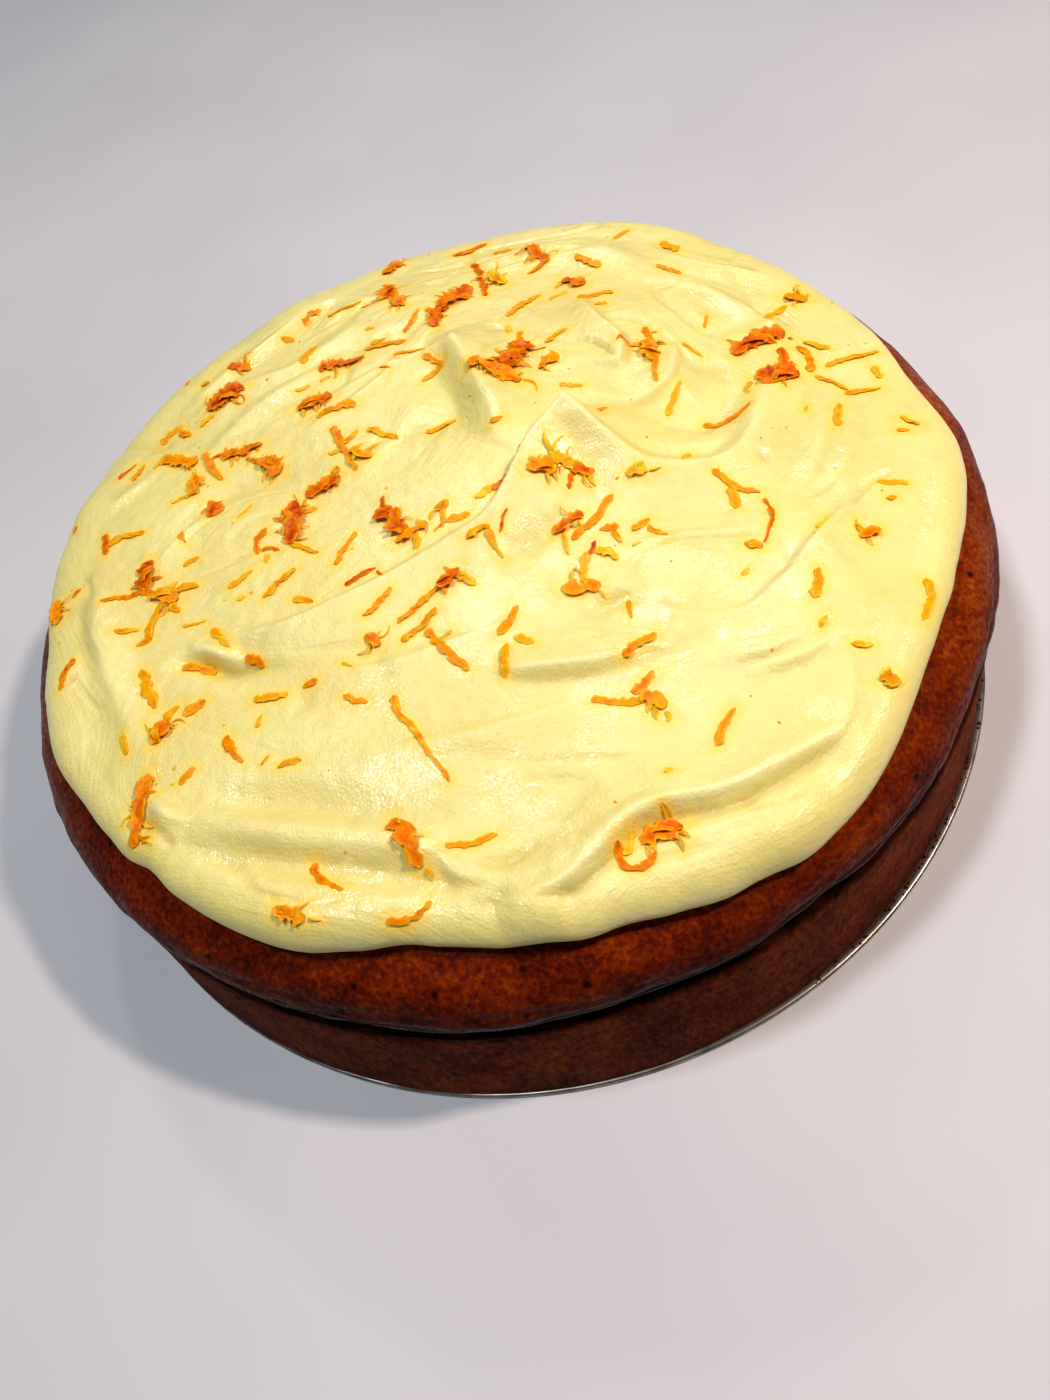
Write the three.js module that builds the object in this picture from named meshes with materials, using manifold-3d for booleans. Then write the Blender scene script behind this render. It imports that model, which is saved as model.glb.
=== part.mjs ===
// A round, single-layer poppy seed cake, whole and uncut, on the loose metal base of the tin it was
// baked in. The top carries a thick, knife-swirled layer of cream cheese frosting with a wavy edge
// that stops short of the cake's shoulder, and orange zest lies scattered on the frosting.
// Millimetres, +Z up, origin at the middle of the underside, -Y to the front.
import * as THREE from "three";
import Module from "manifold-3d";
import { mergeVertices } from "three/addons/utils/BufferGeometryUtils.js";

const wasm = await Module();
wasm.setup();

// ---- Driving dimensions ----------------------------------------------------------------------
const TIN_RADIUS = 115; // the loose base of a 23 cm springform tin
const TIN_THICKNESS = 1.2;
const TIN_EDGE = 0.5; // rounding of the rolled edge
const TIN_SEGMENTS = 60;

const WALL_FOOT_RADIUS = 114.6; // straight side that the tin moulded
const WALL_TOP_RADIUS = 112.0;
const BARE_RIM = 1.4; // how much more of the base's rim is bare at the front right
const BARE_RIM_DIRECTION = 312; // in degrees
const BARE_RIM_HALF_WIDTH = 42;
const WALL_TOP = 32.0;
const GROOVE_RADIUS = 109.6; // waist where the batter rose past the lining paper
const GROOVE_HEIGHT = 34.2;
const BULGE_RADIUS = 111.8; // soft shoulder that overhangs the waist
const BULGE_HEIGHT = 38.6;
const SHOULDER_RADIUS = 97; // where the shoulder runs into the domed top
const SHOULDER_HEIGHT = 50.4;
const SPONGE_HEIGHT = 55.8; // middle of the dome, under the frosting
const SPONGE_SEGMENTS = 72;
const CRUMB_GAP = 0.3; // clearance between sponge and frosting

const FROSTING_HEIGHT = 62.5; // middle of the frosting, without its swirls
const FROSTING_DROP = 6.5; // fall of its smooth top from the middle to DROP_RADIUS
const DROP_RADIUS = 98;
const EDGE_RADIUS = 103.4; // mean outer edge of the frosting
const LIP_RUN = 6; // width of the rounded lip at the front
const LIP_TUCK = 2.4; // how far the lip turns back under itself
const RING_STEP = 4.5; // spacing of the faceted top
const FACET_TOLERANCE = 0.1; // facets that lie closer than this to one plane are joined
const CREST_ROUND = 0.22; // rounding of a stroke's line, as a share of its shorter side
const CREST_POWER = 1.7; // above 1 makes the sides of a ridge hollow, as a knife leaves them
const BLEND_POWER = 3; // ridges that meet take nearly the higher one, not their sum

const ZEST_PROUD = 1.1; // how far a shred stands above the frosting
const ZEST_ROOT = 2.2; // how deep its solid reaches into it

const degrees = THREE.MathUtils.degToRad;
const lerp = THREE.MathUtils.lerp;

// ---- Outlines --------------------------------------------------------------------------------
// Lobes and dents of the frosting's edge: [direction in degrees, height, half width in degrees].
const EDGE_LOBES = [
  [18, -1.5, 12], [51, 3.2, 13], [86, 1.6, 6], [114, -2.6, 9], [150, 0.6, 9], [178, -1.8, 6],
  [194, 1.2, 5], [216, -1.2, 3], [233, 1.0, 8], [250, -2.6, 8], [290, 4.6, 15], [316, -1.2, 9],
  [341, 1.8, 8], [357, -1.6, 7],
];

// Where the lip is wider and falls off more gently: [direction in degrees, extra width, half width].
const LIP_LOBES = [[150, 8, 40], [92, 5, 26], [20, 2, 25]];

// Periodic bump of height 1 at zero, for an angle difference in degrees.
function lobe(difference, halfWidth) {
  const wrapped = THREE.MathUtils.euclideanModulo(difference + 180, 360) - 180;
  return Math.exp(-((wrapped / halfWidth) ** 2));
}

function sumOfLobes(lobes, angle) {
  const direction = THREE.MathUtils.radToDeg(angle);
  return lobes.reduce((sum, [at, height, half]) => sum + height * lobe(direction - at, half), 0);
}

const edgeRadius = (angle) => EDGE_RADIUS + sumOfLobes(EDGE_LOBES, angle);
const lipRun = (angle) => LIP_RUN + sumOfLobes(LIP_LOBES, angle);

// A baked side is never quite round: a slow wander of the radius, at most about 1.6 times size.
function wander(angle, size, phase) {
  return size * (Math.sin(2 * angle + phase) + 0.4 * Math.sin(5 * angle + 2 * phase)
    + 0.2 * Math.sin(9 * angle - phase));
}

// ---- Sponge ----------------------------------------------------------------------------------
// Height of the domed top at a radius inside the shoulder.
function domeHeight(radius) {
  return SPONGE_HEIGHT - (SPONGE_HEIGHT - SHOULDER_HEIGHT) * (radius / SHOULDER_RADIUS) ** 2.4;
}

// Half outline of the sponge at one angle, from the middle of the foot to the middle of the top.
// grow moves the outline outwards.
function spongeOutline(angle, grow = 0) {
  const bulge = BULGE_RADIUS + wander(angle, 0.3, 1.3);
  const waist = GROOVE_HEIGHT + wander(angle, 0.5, 0.4);
  const direction = THREE.MathUtils.radToDeg(angle);
  const foot = WALL_FOOT_RADIUS - BARE_RIM * lobe(direction - BARE_RIM_DIRECTION, BARE_RIM_HALF_WIDTH);
  const outline = [
    [0, TIN_THICKNESS],
    [foot - 0.6, TIN_THICKNESS],
    [foot, TIN_THICKNESS + 0.8],
    [lerp(foot, WALL_TOP_RADIUS, 0.5) - 0.3, WALL_TOP / 2],
    [WALL_TOP_RADIUS, WALL_TOP - 1.6 + wander(angle, 0.5, 0.4)],
    [WALL_TOP_RADIUS - 0.7, waist - 1.4],
    [GROOVE_RADIUS, waist],
    [lerp(GROOVE_RADIUS, bulge, 0.75), waist + 1.8],
    [bulge, BULGE_HEIGHT],
    [bulge - 1.1, BULGE_HEIGHT + 3],
    [bulge - 3.6, BULGE_HEIGHT + 6],
    [bulge - 8, BULGE_HEIGHT + 9],
    [SHOULDER_RADIUS, SHOULDER_HEIGHT],
    ...[0.86, 0.62, 0.32].map((share) => share * SHOULDER_RADIUS).map((r) => [r, domeHeight(r)]),
    [0, SPONGE_HEIGHT],
  ];
  return outline.map(([r, z]) => [r > 0 ? r + (grow * r) / BULGE_RADIUS : 0, z + grow]);
}

// Closed solid from a half outline that may differ at each angle.
function revolve(outlineAt, segments) {
  const points = [];
  const faces = [];
  const rows = outlineAt(0).length;
  const index = (segment, row) => {
    if (row === 0) return 0;
    if (row === rows - 1) return 1;
    return 2 + (segment % segments) * (rows - 2) + row - 1;
  };
  const middle = outlineAt(0);
  points.push([0, 0, middle[0][1]], [0, 0, middle[rows - 1][1]]);
  for (let segment = 0; segment < segments; segment += 1) {
    const angle = (2 * Math.PI * segment) / segments;
    for (const [r, z] of outlineAt(angle).slice(1, -1)) {
      points.push([r * Math.cos(angle), r * Math.sin(angle), z]);
    }
  }
  for (let segment = 0; segment < segments; segment += 1) {
    for (let row = 0; row < rows - 1; row += 1) {
      const [a, b] = [index(segment, row), index(segment + 1, row)];
      const [c, d] = [index(segment + 1, row + 1), index(segment, row + 1)];
      if (a !== b) faces.push([a, b, c]);
      if (c !== d) faces.push([a, c, d]);
    }
  }
  return geometryOf(points, faces);
}

function geometryOf(points, faces) {
  const geometry = new THREE.BufferGeometry();
  geometry.setAttribute("position", new THREE.Float32BufferAttribute(points.flat(), 3));
  geometry.setIndex(faces.flat());
  return geometry;
}

// ---- Swirls ----------------------------------------------------------------------------------
// Each stroke of the knife is a line of [x, y, height over the smooth top], and how far its left and
// its right side run out, looking along the line. A negative height is a trough.
const SWIRLS = [
  // the ridge that climbs from the left to the middle peak; its far side drops off
  [[[-55, -18, 0.8], [-45, -21, 2.4], [-34, -21, 2.5], [-21, -19, 1.7], [-8, -16, 1.8], [2, -14, 3],
    [9, -9, 4.6], [16, -2, 7], [23, 2, 9], [27, 4, 10]], 2.2, 20],
  // the other edge of the peak, which runs on as the rim of the bowl
  [[[27, 4, 10], [30, -1, 7.6], [33, -6, 5.8], [37, -13, 4], [44, -18, 3.4], [53, -20, 3.2],
    [61, -15, 2.8], [69, -2, 1]], 4.2, 12],
  // the bowl right of the peak, and the step round its back
  [[[39, 20, -0.6], [42, 9, -2], [48, -1, -3], [56, -5, -3], [65, 3, -1]], 12, 6.5],
  [[[37, 13, 0.4], [44, 8, 1.3], [52, 10, 1.5], [57, 18, 1.2], [58, 25, 0.4]], 10, 1.5],
  // the crest left of and behind the peak, and the scoop on its left
  [[[11, 54, 0.8], [11, 45, 4.6], [12, 32, 4.8], [13, 17, 4.6], [12, 10, 3], [9, 7, 0.8]], 14, 2.2],
  [[[4, 47, -0.8], [8, 34, -2], [8, 22, -2.2], [1, 11, -0.4]], 5, 13],
  // folds that run down to the left from its tip
  [[[11, 46, 4], [-4, 49, 2.2], [-16, 47, 1.5], [-25, 45, 0.4]], 9, 2],
  [[[-3, 52, 0.6], [-8, 45, 2], [-15, 41, 2], [-28, 37, 0.4]], 3, 3],
  [[[-16, 61, 0.4], [-30, 57, 1.2], [-44, 51, 1.2], [-56, 43, 0.4]], 6, 4],
  // the grooves and beads along the back left edge
  [[[-44, 73, -0.8], [-31, 79, -1.5], [-17, 87, -0.8]], 3, 3],
  [[[-54, 70, 0.8], [-36, 80, 1.5], [-16, 91, 1.2], [-8, 95, 0.5]], 3.5, 3],
  [[[-48, 66, 0.6], [-30, 63, 2], [-13, 71, 0.7]], 5, 5],
  [[[-15, 75, -0.4], [-9, 82, -1.4], [-3, 82, -0.5]], 3, 4],
  [[[-66, 56, -0.8], [-77, 58, -2], [-87, 49, -2], [-95, 33, -0.8]], 2, 3],
  [[[-73, 59, 0.8], [-82, 51, 1.7], [-92, 40, 1]], 3, 3],
  [[[-85, 38, 0.4], [-79, 41, 1.2], [-71, 46, 0.4]], 6, 3],
  // the sharp lick and the valley inside the left edge, and the soft roll outside them
  [[[-73, 12, 0.6], [-69, 14, 2], [-61, 21, 1.2], [-55, 24, 0.3]], 1.3, 9],
  [[[-61, 25, -0.8], [-50, 28, -1.9], [-33, 24, -0.4]], 6, 6],
  [[[-86, 16, 0.4], [-87, 0, 1.8], [-84, -18, 2], [-80, -34, 0.6]], 8, 5],
  // the torn curl at the ridge's left end, and the hollow under it
  [[[-65, -16, 1], [-60, -21, 3.2], [-54, -26, 0.6]], 5, 1.6],
  [[[-68, -18, -1.2], [-60, -23, -2.8], [-50, -29, -1.2], [-43, -32, -0.3]], 3, 7],
  // hollows and a step across the middle
  [[[2, -28, -0.5], [8, -24, -2.1], [14, -21, -1.8], [19, -18, -0.5]], 5, 5],
  [[[-7, -50, 0.4], [-1, -53, 2.4], [9, -56, 2.6], [19, -57, 1.8], [30, -56, 0.4]], 12, 2.4],
  [[[13, -45, -0.5], [20, -44, -1.7], [26, -46, -0.5]], 3, 4],
  [[[-44, -34, 0.3], [-28, -40, 1], [-12, -41, 1], [4, -40, 0.3]], 2.4, 9],
  [[[-40, -55, 0.3], [-26, -60, 1.1], [-8, -63, 1.1], [8, -63, 0.3]], 3, 9],
  // the long fold along the front right edge, the groove that it overhangs and the roll outside
  [[[-24, -94, 0.4], [-18, -95, 2], [-9, -96, 3.5], [1, -92, 3.3], [11, -88, 2.8], [24, -90, 2.6],
    [38, -88, 2.6], [47, -86, 2], [52, -80, 1.2], [55, -72, 0.4]], 10, 2.2],
  [[[-1, -94, -0.6], [8, -91, -1.5], [24, -92, -1.4], [44, -89, -0.6]], 2.5, 5],
  [[[-12, -102, 0.8], [3, -101, 1.9], [26, -99, 1.9], [45, -93, 1.8], [59, -81, 1.2],
    [67, -69, 0.5]], 7, 9],
  [[[19, -95, 0.3], [28, -96, 1.3], [37, -93, 0.3]], 5, 1.2],
  [[[-3, -99, -0.3], [10, -98, -1.1], [29, -97, -0.3]], 4, 4],
  // the tongue at the fold's front end, and the bump and notch below it
  [[[-18, -92, 1], [-10, -92, 1.8], [-1, -89, 0.7]], 5, 5],
  [[[-21, -86, -0.4], [-16, -88, -1.2], [-11, -87, -0.4]], 2, 2],
  [[[-27, -82, 0.3], [-25, -87, 1.5], [-18, -91, 0.5]], 9, 2],
  [[[-19, -94, -1], [-23, -96, -1.9], [-26, -99, -1.3]], 3, 3],
  [[[-20, -97, 1], [-19, -99, 2], [-19, -101, 1]], 3.4, 3.4],
  // waves over the front left
  [[[-68, -51, -0.6], [-56, -58, -2.1], [-42, -66, -2], [-29, -74, -0.4]], 6, 6],
  [[[-75, -54, 0.5], [-62, -63, 1.7], [-46, -73, 2.1], [-30, -80, 1.7], [-23, -83, 0.4]], 6, 6],
  [[[-72, -60, -0.5], [-58, -69, -2.2], [-41, -78, -2.7], [-28, -87, -1.3]], 6, 5],
  [[[-78, -61, 0.8], [-62, -75, 2.1], [-46, -85, 2.3], [-28, -93, 0.9]], 5, 7],
  // the lump at the front left corner, with a dent and a nub outside it
  [[[-79, -48, 0.8], [-76, -53, 2.7], [-73, -56, 1]], 4, 5],
  [[[-82, -53, -1], [-81, -56, -2.1], [-78, -59, -0.9]], 3, 3],
  [[[-82, -62, 1.4], [-80, -63, 2], [-78, -62, 0.8]], 2.5, 2.5],
  // licks over the right side
  [[[53, -52, 0.4], [60, -47, 1.6], [68, -42, 1.2], [74, -40, 0.3]], 1.4, 7],
  [[[44, -56, 0.3], [52, -53, 1.5], [58, -50, 0.6]], 2, 8],
  [[[32, -64, 0.3], [43, -67, 1.8], [54, -64, 0.5]], 9, 1.8],
  [[[36, -69, 0.3], [46, -70, 1.3], [55, -68, 0.4]], 7, 1.6],
  [[[71, -7, 0.3], [64, -18, 1.2], [57, -25, 0.3]], 3, 3],
  [[[78, -15, 0.3], [71, -25, 1.1], [65, -31, 0.3]], 2.5, 4],
  [[[81, -21, 0.3], [74, -32, 1.1], [66, -38, 0.3]], 3, 5],
  [[[94, -30, 0.5], [86, -51, 1.2], [73, -70, 1.2], [60, -83, 0.4]], 5, 5],
  // thin folds along the back right edge, and the broad one behind them
  [[[65, 66, 0.3], [72, 53, 1.4], [85, 39, 1.1], [91, 30, 0.3]], 2, 6],
  [[[70, 44, 0.3], [77, 29, 1.3], [83, 16, 0.4]], 2, 6],
  [[[22, 84, 0.4], [40, 78, 1.4], [54, 69, 1.6], [62, 56, 0.4]], 5, 9],
  // the boss behind the bowl
  [[[44, 49, 0.5], [45, 37, 2.7], [47, 27, 3.4], [44, 21, 2], [38, 25, 0.4]], 2, 14],
];

const SWIRL_STEPS = 24;
const swirls = SWIRLS.map(([line, left, right]) => {
  const curve = new THREE.CatmullRomCurve3(line.map((p) => new THREE.Vector3(...p)), false, "catmullrom");
  return { points: curve.getPoints(SWIRL_STEPS), left, right };
});

// Height that one stroke adds at a place, from the nearest point of its line.
function swirlHeight({ points, left, right }, x, y) {
  let best = { distance: Infinity };
  for (let i = 0; i < points.length - 1; i += 1) {
    const [a, b] = [points[i], points[i + 1]];
    const [ux, uy] = [b.x - a.x, b.y - a.y];
    const t = THREE.MathUtils.clamp(((x - a.x) * ux + (y - a.y) * uy) / (ux * ux + uy * uy), 0, 1);
    const [dx, dy] = [x - a.x - t * ux, y - a.y - t * uy];
    const distance = Math.hypot(dx, dy);
    if (distance < best.distance) {
      const side = (ux * dy - uy * dx) / (Math.hypot(ux, uy) * distance + 1e-9);
      best = { distance, side, height: lerp(a.z, b.z, t) };
    }
  }
  const run = lerp(right, left, 0.5 + 0.5 * best.side);
  const round = CREST_ROUND * Math.min(left, right);
  const away = (Math.hypot(best.distance, round) - round) / run;
  return best.height * Math.max(0, 1 - away) ** CREST_POWER;
}

// Slow unevenness of a hand-spread layer.
function undulation(x, y) {
  return 0.5 * Math.sin(x / 17 + 0.6) * Math.cos(y / 21 - 0.4) + 0.3 * Math.sin(x / 9 + y / 11 + 1);
}

function swirlRelief(x, y) {
  const heights = swirls.map((swirl) => swirlHeight(swirl, x, y));
  const blend = (list) => list.reduce((sum, h) => sum + h ** BLEND_POWER, 0) ** (1 / BLEND_POWER);
  const ridges = blend(heights.filter((h) => h > 0));
  const troughs = blend(heights.filter((h) => h < 0).map((h) => -h));
  return ridges - troughs + undulation(x, y);
}

// ---- Frosting --------------------------------------------------------------------------------
function frostingTop(x, y) {
  return FROSTING_HEIGHT - FROSTING_DROP * (Math.hypot(x, y) / DROP_RADIUS) ** 2 + swirlRelief(x, y);
}

// The lip at one angle: its edge, the width of its rounding, and the heights of its top, of its
// widest line and of the sponge that it sits on.
function lipAt(angle) {
  const edge = edgeRadius(angle);
  const run = lipRun(angle);
  const shoulder = edge - run;
  const top = frostingTop(shoulder * Math.cos(angle), shoulder * Math.sin(angle));
  const seat = lerp(SHOULDER_HEIGHT, BULGE_HEIGHT + 6, (edge - SHOULDER_RADIUS) / 11.2);
  return { edge, run, shoulder, top, seat, belly: lerp(seat, top, 0.42) };
}

// Height of the frosting anywhere inside its edge, on the rounded lip too.
function surfaceHeight(x, y) {
  const { edge, run, shoulder, top, belly } = lipAt(Math.atan2(y, x));
  const share = Math.min(1, (Math.hypot(x, y) - shoulder) / run);
  return share <= 0 ? frostingTop(x, y) : lerp(belly, top, Math.sqrt(1 - share ** 2));
}

// Section of the rounded lip at one angle, from the edge of the top down into the sponge.
function lipSection(angle) {
  const { edge, run, shoulder, top, seat, belly } = lipAt(angle);
  const over = [30, 60, 90].map(degrees).map((turn) =>
    [shoulder + run * Math.sin(turn), lerp(belly, top, Math.cos(turn))]);
  const under = [45, 90].map(degrees).map((turn) =>
    [edge - LIP_TUCK * (1 - Math.cos(turn)), lerp(belly, seat - 1.5, Math.sin(turn))]);
  return [...over, ...under];
}

// Frosting with a plain underside that reaches down into the sponge. The top is a mesh of rings
// that gain six points each, so that its facets stay even in size.
function frostingBlank() {
  const rings = Math.round(EDGE_RADIUS / RING_STEP);
  const points = [[0, 0, frostingTop(0, 0)]];
  const starts = [0];
  for (let ring = 1; ring <= rings; ring += 1) {
    starts.push(points.length);
    for (let i = 0; i < 6 * ring; i += 1) {
      const angle = (2 * Math.PI * i) / (6 * ring);
      const r = ((edgeRadius(angle) - lipRun(angle)) * ring) / rings;
      const [x, y] = [r * Math.cos(angle), r * Math.sin(angle)];
      points.push([x, y, frostingTop(x, y)]);
    }
  }
  const around = 6 * rings;
  const lipRows = lipSection(0).length;
  for (let row = 0; row < lipRows; row += 1) {
    starts.push(points.length);
    for (let i = 0; i < around; i += 1) {
      const angle = (2 * Math.PI * i) / around;
      const [r, z] = lipSection(angle)[row];
      points.push([r * Math.cos(angle), r * Math.sin(angle), z]);
    }
  }
  const foot = points.push([0, 0, GROOVE_HEIGHT]) - 1;

  const faces = [];
  for (let ring = 1; ring <= rings; ring += 1) {
    const [outer, inner] = [starts[ring], starts[ring - 1]];
    for (let sector = 0; sector < 6; sector += 1) {
      for (let i = 0; i < ring; i += 1) {
        const out = (k) => outer + ((sector * ring + k) % (6 * ring));
        const inn = (k) => (ring === 1 ? 0 : inner + ((sector * (ring - 1) + k) % (6 * (ring - 1))));
        faces.push([inn(i), out(i), out(i + 1)]);
        if (i < ring - 1) faces.push([inn(i), out(i + 1), inn(i + 1)]);
      }
    }
  }
  for (let row = 0; row < lipRows; row += 1) {
    for (let i = 0; i < around; i += 1) {
      const next = (i + 1) % around;
      const [a, b] = [starts[rings + row] + i, starts[rings + row] + next];
      const [c, d] = [starts[rings + row + 1] + next, starts[rings + row + 1] + i];
      faces.push([a, d, c], [a, c, b]);
    }
  }
  const last = starts[rings + lipRows];
  for (let i = 0; i < around; i += 1) {
    faces.push([last + i, foot, last + ((i + 1) % around)]);
  }
  return geometryOf(points, faces);
}

// ---- Orange zest -----------------------------------------------------------------------------
// The shreds that show most: [x, y, heading in degrees, length, bend in degrees, width].
const LARGE_SHREDS = [
  // the big tangle behind the peak
  [22.5, 33.5, 50, 13, 15, 6.4], [16.5, 28.3, -54, 14, 15, 4], [29.5, 28, 8, 6, 0, 3.2],
  [26, 41, 62, 6, 0, 1.6], [22.5, 21.5, -65, 7, -80, 1],
  // the curl on the right
  [75.5, 13.2, 8, 14, -55, 4.2], [78.5, 6.5, -95, 8, 0, 2.2], [82, 4.5, -88, 11, -70, 1.9],
  [74.5, 1.2, -25, 9.5, 30, 5.6], [90, 25.5, -35, 5.5, 0, 3.4],
  // back
  [15, 65, 226, 20, 80, 4.4], [24, 74.5, -97, 19, -25, 2.3], [28, 72, 110, 8, 10, 3.8],
  [41, 76, -72, 10, 25, 2.8], [39.5, 70.5, 187, 7.5, -20, 1.9], [25.5, 91.5, -2, 10, 8, 1.9],
  [0.5, 83.5, 80, 8, 30, 5], [2, 77, -78, 10, 20, 3.2], [4, 97, 34, 7, 10, 3.2],
  [-12, 84, 3, 10, 0, 1.2], [51, 64, -58, 9, 8, 2.2], [45, 58, -50, 7, 0, 3.2],
  [48, 49, -12, 9, 12, 1.6], [31, 55, 30, 11.5, 12, 2], [34, 36.5, 8, 6.5, -20, 2],
  [-17, 58, -6, 12, 15, 3.2], [3.4, 64.7, 45, 9, 12, 1.4], [-5, 59.5, -12, 11, 12, 1.8],
  [0, 52.5, -10, 8, 10, 1.1], [4.5, 44, -47, 6, 0, 1.9], [3.5, 40.7, 200, 7, 0, 1.8],
  // back left
  [-48, 62.5, 12, 11, 15, 4.4], [-64, 59.5, 36, 7, -15, 2.2], [-63, 47, -34, 12.5, 10, 3.4],
  [-46.5, 40, -5, 11, 12, 3], [-54.3, 39.2, -73, 12.5, 10, 2.2], [-39.7, 30.5, -60, 7, 40, 4.2],
  [-60, 35, 80, 7, 30, 3.6], [-24, 66, 62, 8.5, -15, 2.2], [-21, 86, 31, 6.5, 0, 2],
  [-26, 46, -14, 9, 20, 4], [-21.5, 39, -11, 10, -10, 2.2], [-43.3, 75, -10, 6, 0, 2.6],
  [-22.3, 24.6, -81, 18, 6, 2.2], [-19, 20.5, -50, 7, 0, 3], [-12.6, 24.5, -56, 9, 8, 2],
  [-57.5, 24.5, 80, 8, 120, 3.6], [-78.3, 26.5, -6, 10, -15, 1.6], [0.6, 20.3, 11, 7.5, 8, 1.8],
  // left
  [-74, 11, 75, 9, 40, 4.4], [-79.3, 7.2, 165, 13, 25, 1.6], [-70.5, 2.5, -40, 8, 0, 4],
  [-66, 2, -8, 8, -50, 2], [-73.8, -3.4, -115, 10, -10, 1.8], [-38.3, 8.7, 67, 13, 15, 4.8],
  [-37, -0.6, -52, 8.5, 20, 1.6], [-46, 7, -112, 7.5, 50, 1.8], [-29.5, 16, 12, 9, 20, 4.2],
  [-52.4, -2.2, 22, 6.5, 0, 2], [-44, -8, 30, 9.5, 8, 1.8], [-97.2, 13.4, -84, 8, 0, 3.2],
  [-94.8, -7.8, 55, 8, -25, 1.5], [-59.2, -16.3, -63, 8, -20, 2.2], [-65.7, -20, -18, 7.5, -15, 2.2],
  [-76.7, -21, -76, 12, 5, 2.2], [-75, -33.5, 45, 6, 20, 3.8], [-81.3, -49, -108, 15, 15, 3.4],
  // middle
  [-16.5, -3.2, -80, 10, 20, 4.8], [-13.5, -8.8, 25, 8, 0, 3.2], [-28.2, -5.6, 50, 9.5, 5, 1.8],
  [-26.7, -15.4, 6, 7.5, 0, 1.2], [-5.8, -7.3, -98, 7, 0, 1.2], [10.2, -4, 28, 10, 40, 1.8],
  [17.3, -9, -10, 6.5, 20, 4], [21.8, -8.5, -15, 5.5, 0, 3.4], [25, -11, -15, 5, 0, 2.8],
  [22.9, -23, 35, 14, 0, 1.6], [17.8, -22.6, 18, 7.5, -20, 2.8], [-0.3, -18, 8, 5.5, -30, 2],
  [2.3, -21.5, -82, 7.5, 20, 1.8], [-16.5, -29, 27, 12, -15, 1.9], [-9.3, -25.2, 20, 6, 60, 4],
  [-24.6, -25, 22, 8.5, 10, 1.8], [-17.9, -33.9, 31, 10, 0, 1.9], [-14.2, -41.8, -71, 14, 8, 1.9],
  [-1, -40.2, 43, 8, 0, 1.7], [-4, -49.3, -114, 8, -10, 1.9], [15, -38.5, -20, 8, 0, 3.2],
  [17.4, -33.6, -120, 6, 0, 2.2],
  // right of the middle
  [52, 20, -106, 22, 8, 1.9], [52.5, 21, -100, 9, 20, 3.6], [60, -4.5, -12, 11.5, 45, 1.7],
  [51.5, 5, 44, 9, 5, 1.5], [92, 0.5, -8, 12.5, 8, 1.4], [84, -5.4, -71, 8.5, -20, 1.1],
  [89, -10.5, 0, 8, 12, 1.4], [80.6, -16, 60, 7.5, 0, 2], [53, -26.5, -50, 11, 45, 1.7],
  [54, -37.6, -112, 12.5, -45, 1.3],
  // front
  [-24.2, -58.4, -77, 23, 8, 1.7], [13, -65.9, -20, 10.5, 0, 1.5], [18.4, -63.8, 30, 6, 0, 2.2],
  [18.6, -68.2, -60, 5.5, 0, 2.6], [20.6, -56.5, 22, 8, 0, 2], [74, -67.7, -99, 11, -10, 1.8],
  [56.3, -56.5, 55, 7, 0, 1.9], [28.8, -78, 45, 8.5, 0, 2], [-20.8, -81.9, -9, 9.5, 8, 1.6],
  [-32, -77.6, -80, 11.5, 10, 3.4], [-47.4, -78, -62, 9.7, 60, 1.8], [-34.8, -90.1, -4, 8.8, 85, 1.8],
  [-56.3, -84.4, -66, 8, 0, 3], [-60, -44.6, -74, 8, 55, 2], [-50.8, -36, -12, 7.5, 10, 2],
  [5.8, -94, 140, 11, -170, 1.6], [10.7, -93, -10, 7.5, 0, 4.4],
];

// One shred: a ribbon that turns by its bend as it follows the frosting, rooted in it.
function shredGeometry([x, y, heading, length, bend, width]) {
  const steps = length > 12 ? 3 : 2;
  const half = width / 2;
  const step = length / steps;
  const points = [];
  const spine = [];
  const start = { x: 0, y: 0 };
  for (let i = 0; i <= steps; i += 1) {
    const direction = degrees(heading + bend * (i / steps - 0.5));
    spine.push({ ...start, direction });
    const onward = degrees(heading + bend * ((i + 0.5) / steps - 0.5));
    start.x += step * Math.cos(onward);
    start.y += step * Math.sin(onward);
  }
  const [shiftX, shiftY] = [x - spine[steps].x / 2, y - spine[steps].y / 2];
  spine.forEach((p, i) => {
    const taper = i === 0 || i === steps ? 0.6 : 1;
    const [px, py] = [p.x + shiftX, p.y + shiftY];
    const [nx, ny] = [-Math.sin(p.direction) * half * taper, Math.cos(p.direction) * half * taper];
    const ground = surfaceHeight(px, py);
    const top = ground + ZEST_PROUD * taper;
    const foot = ground - ZEST_ROOT;
    points.push([px + nx, py + ny, foot], [px - nx, py - ny, foot]);
    points.push([px - 0.7 * nx, py - 0.7 * ny, top], [px + 0.7 * nx, py + 0.7 * ny, top]);
  });
  const faces = [[0, 1, 2], [0, 2, 3]];
  for (let i = 0; i < steps; i += 1) {
    for (let corner = 0; corner < 4; corner += 1) {
      const [a, b] = [4 * i + corner, 4 * i + ((corner + 1) % 4)];
      faces.push([a, a + 4, b + 4], [a, b + 4, b]);
    }
  }
  const end = 4 * steps;
  faces.push([end, end + 2, end + 1], [end, end + 3, end + 2]);
  return geometryOf(points, faces);
}

// ---- Joining ---------------------------------------------------------------------------------
function solidOf(geometry) {
  const merged = mergeVertices(geometry, 1e-4);
  const { array } = merged.getAttribute("position");
  return new wasm.Manifold(new wasm.Mesh({
    numProp: 3,
    vertProperties: new Float32Array(array),
    triVerts: new Uint32Array(merged.index.array),
  }));
}

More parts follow.
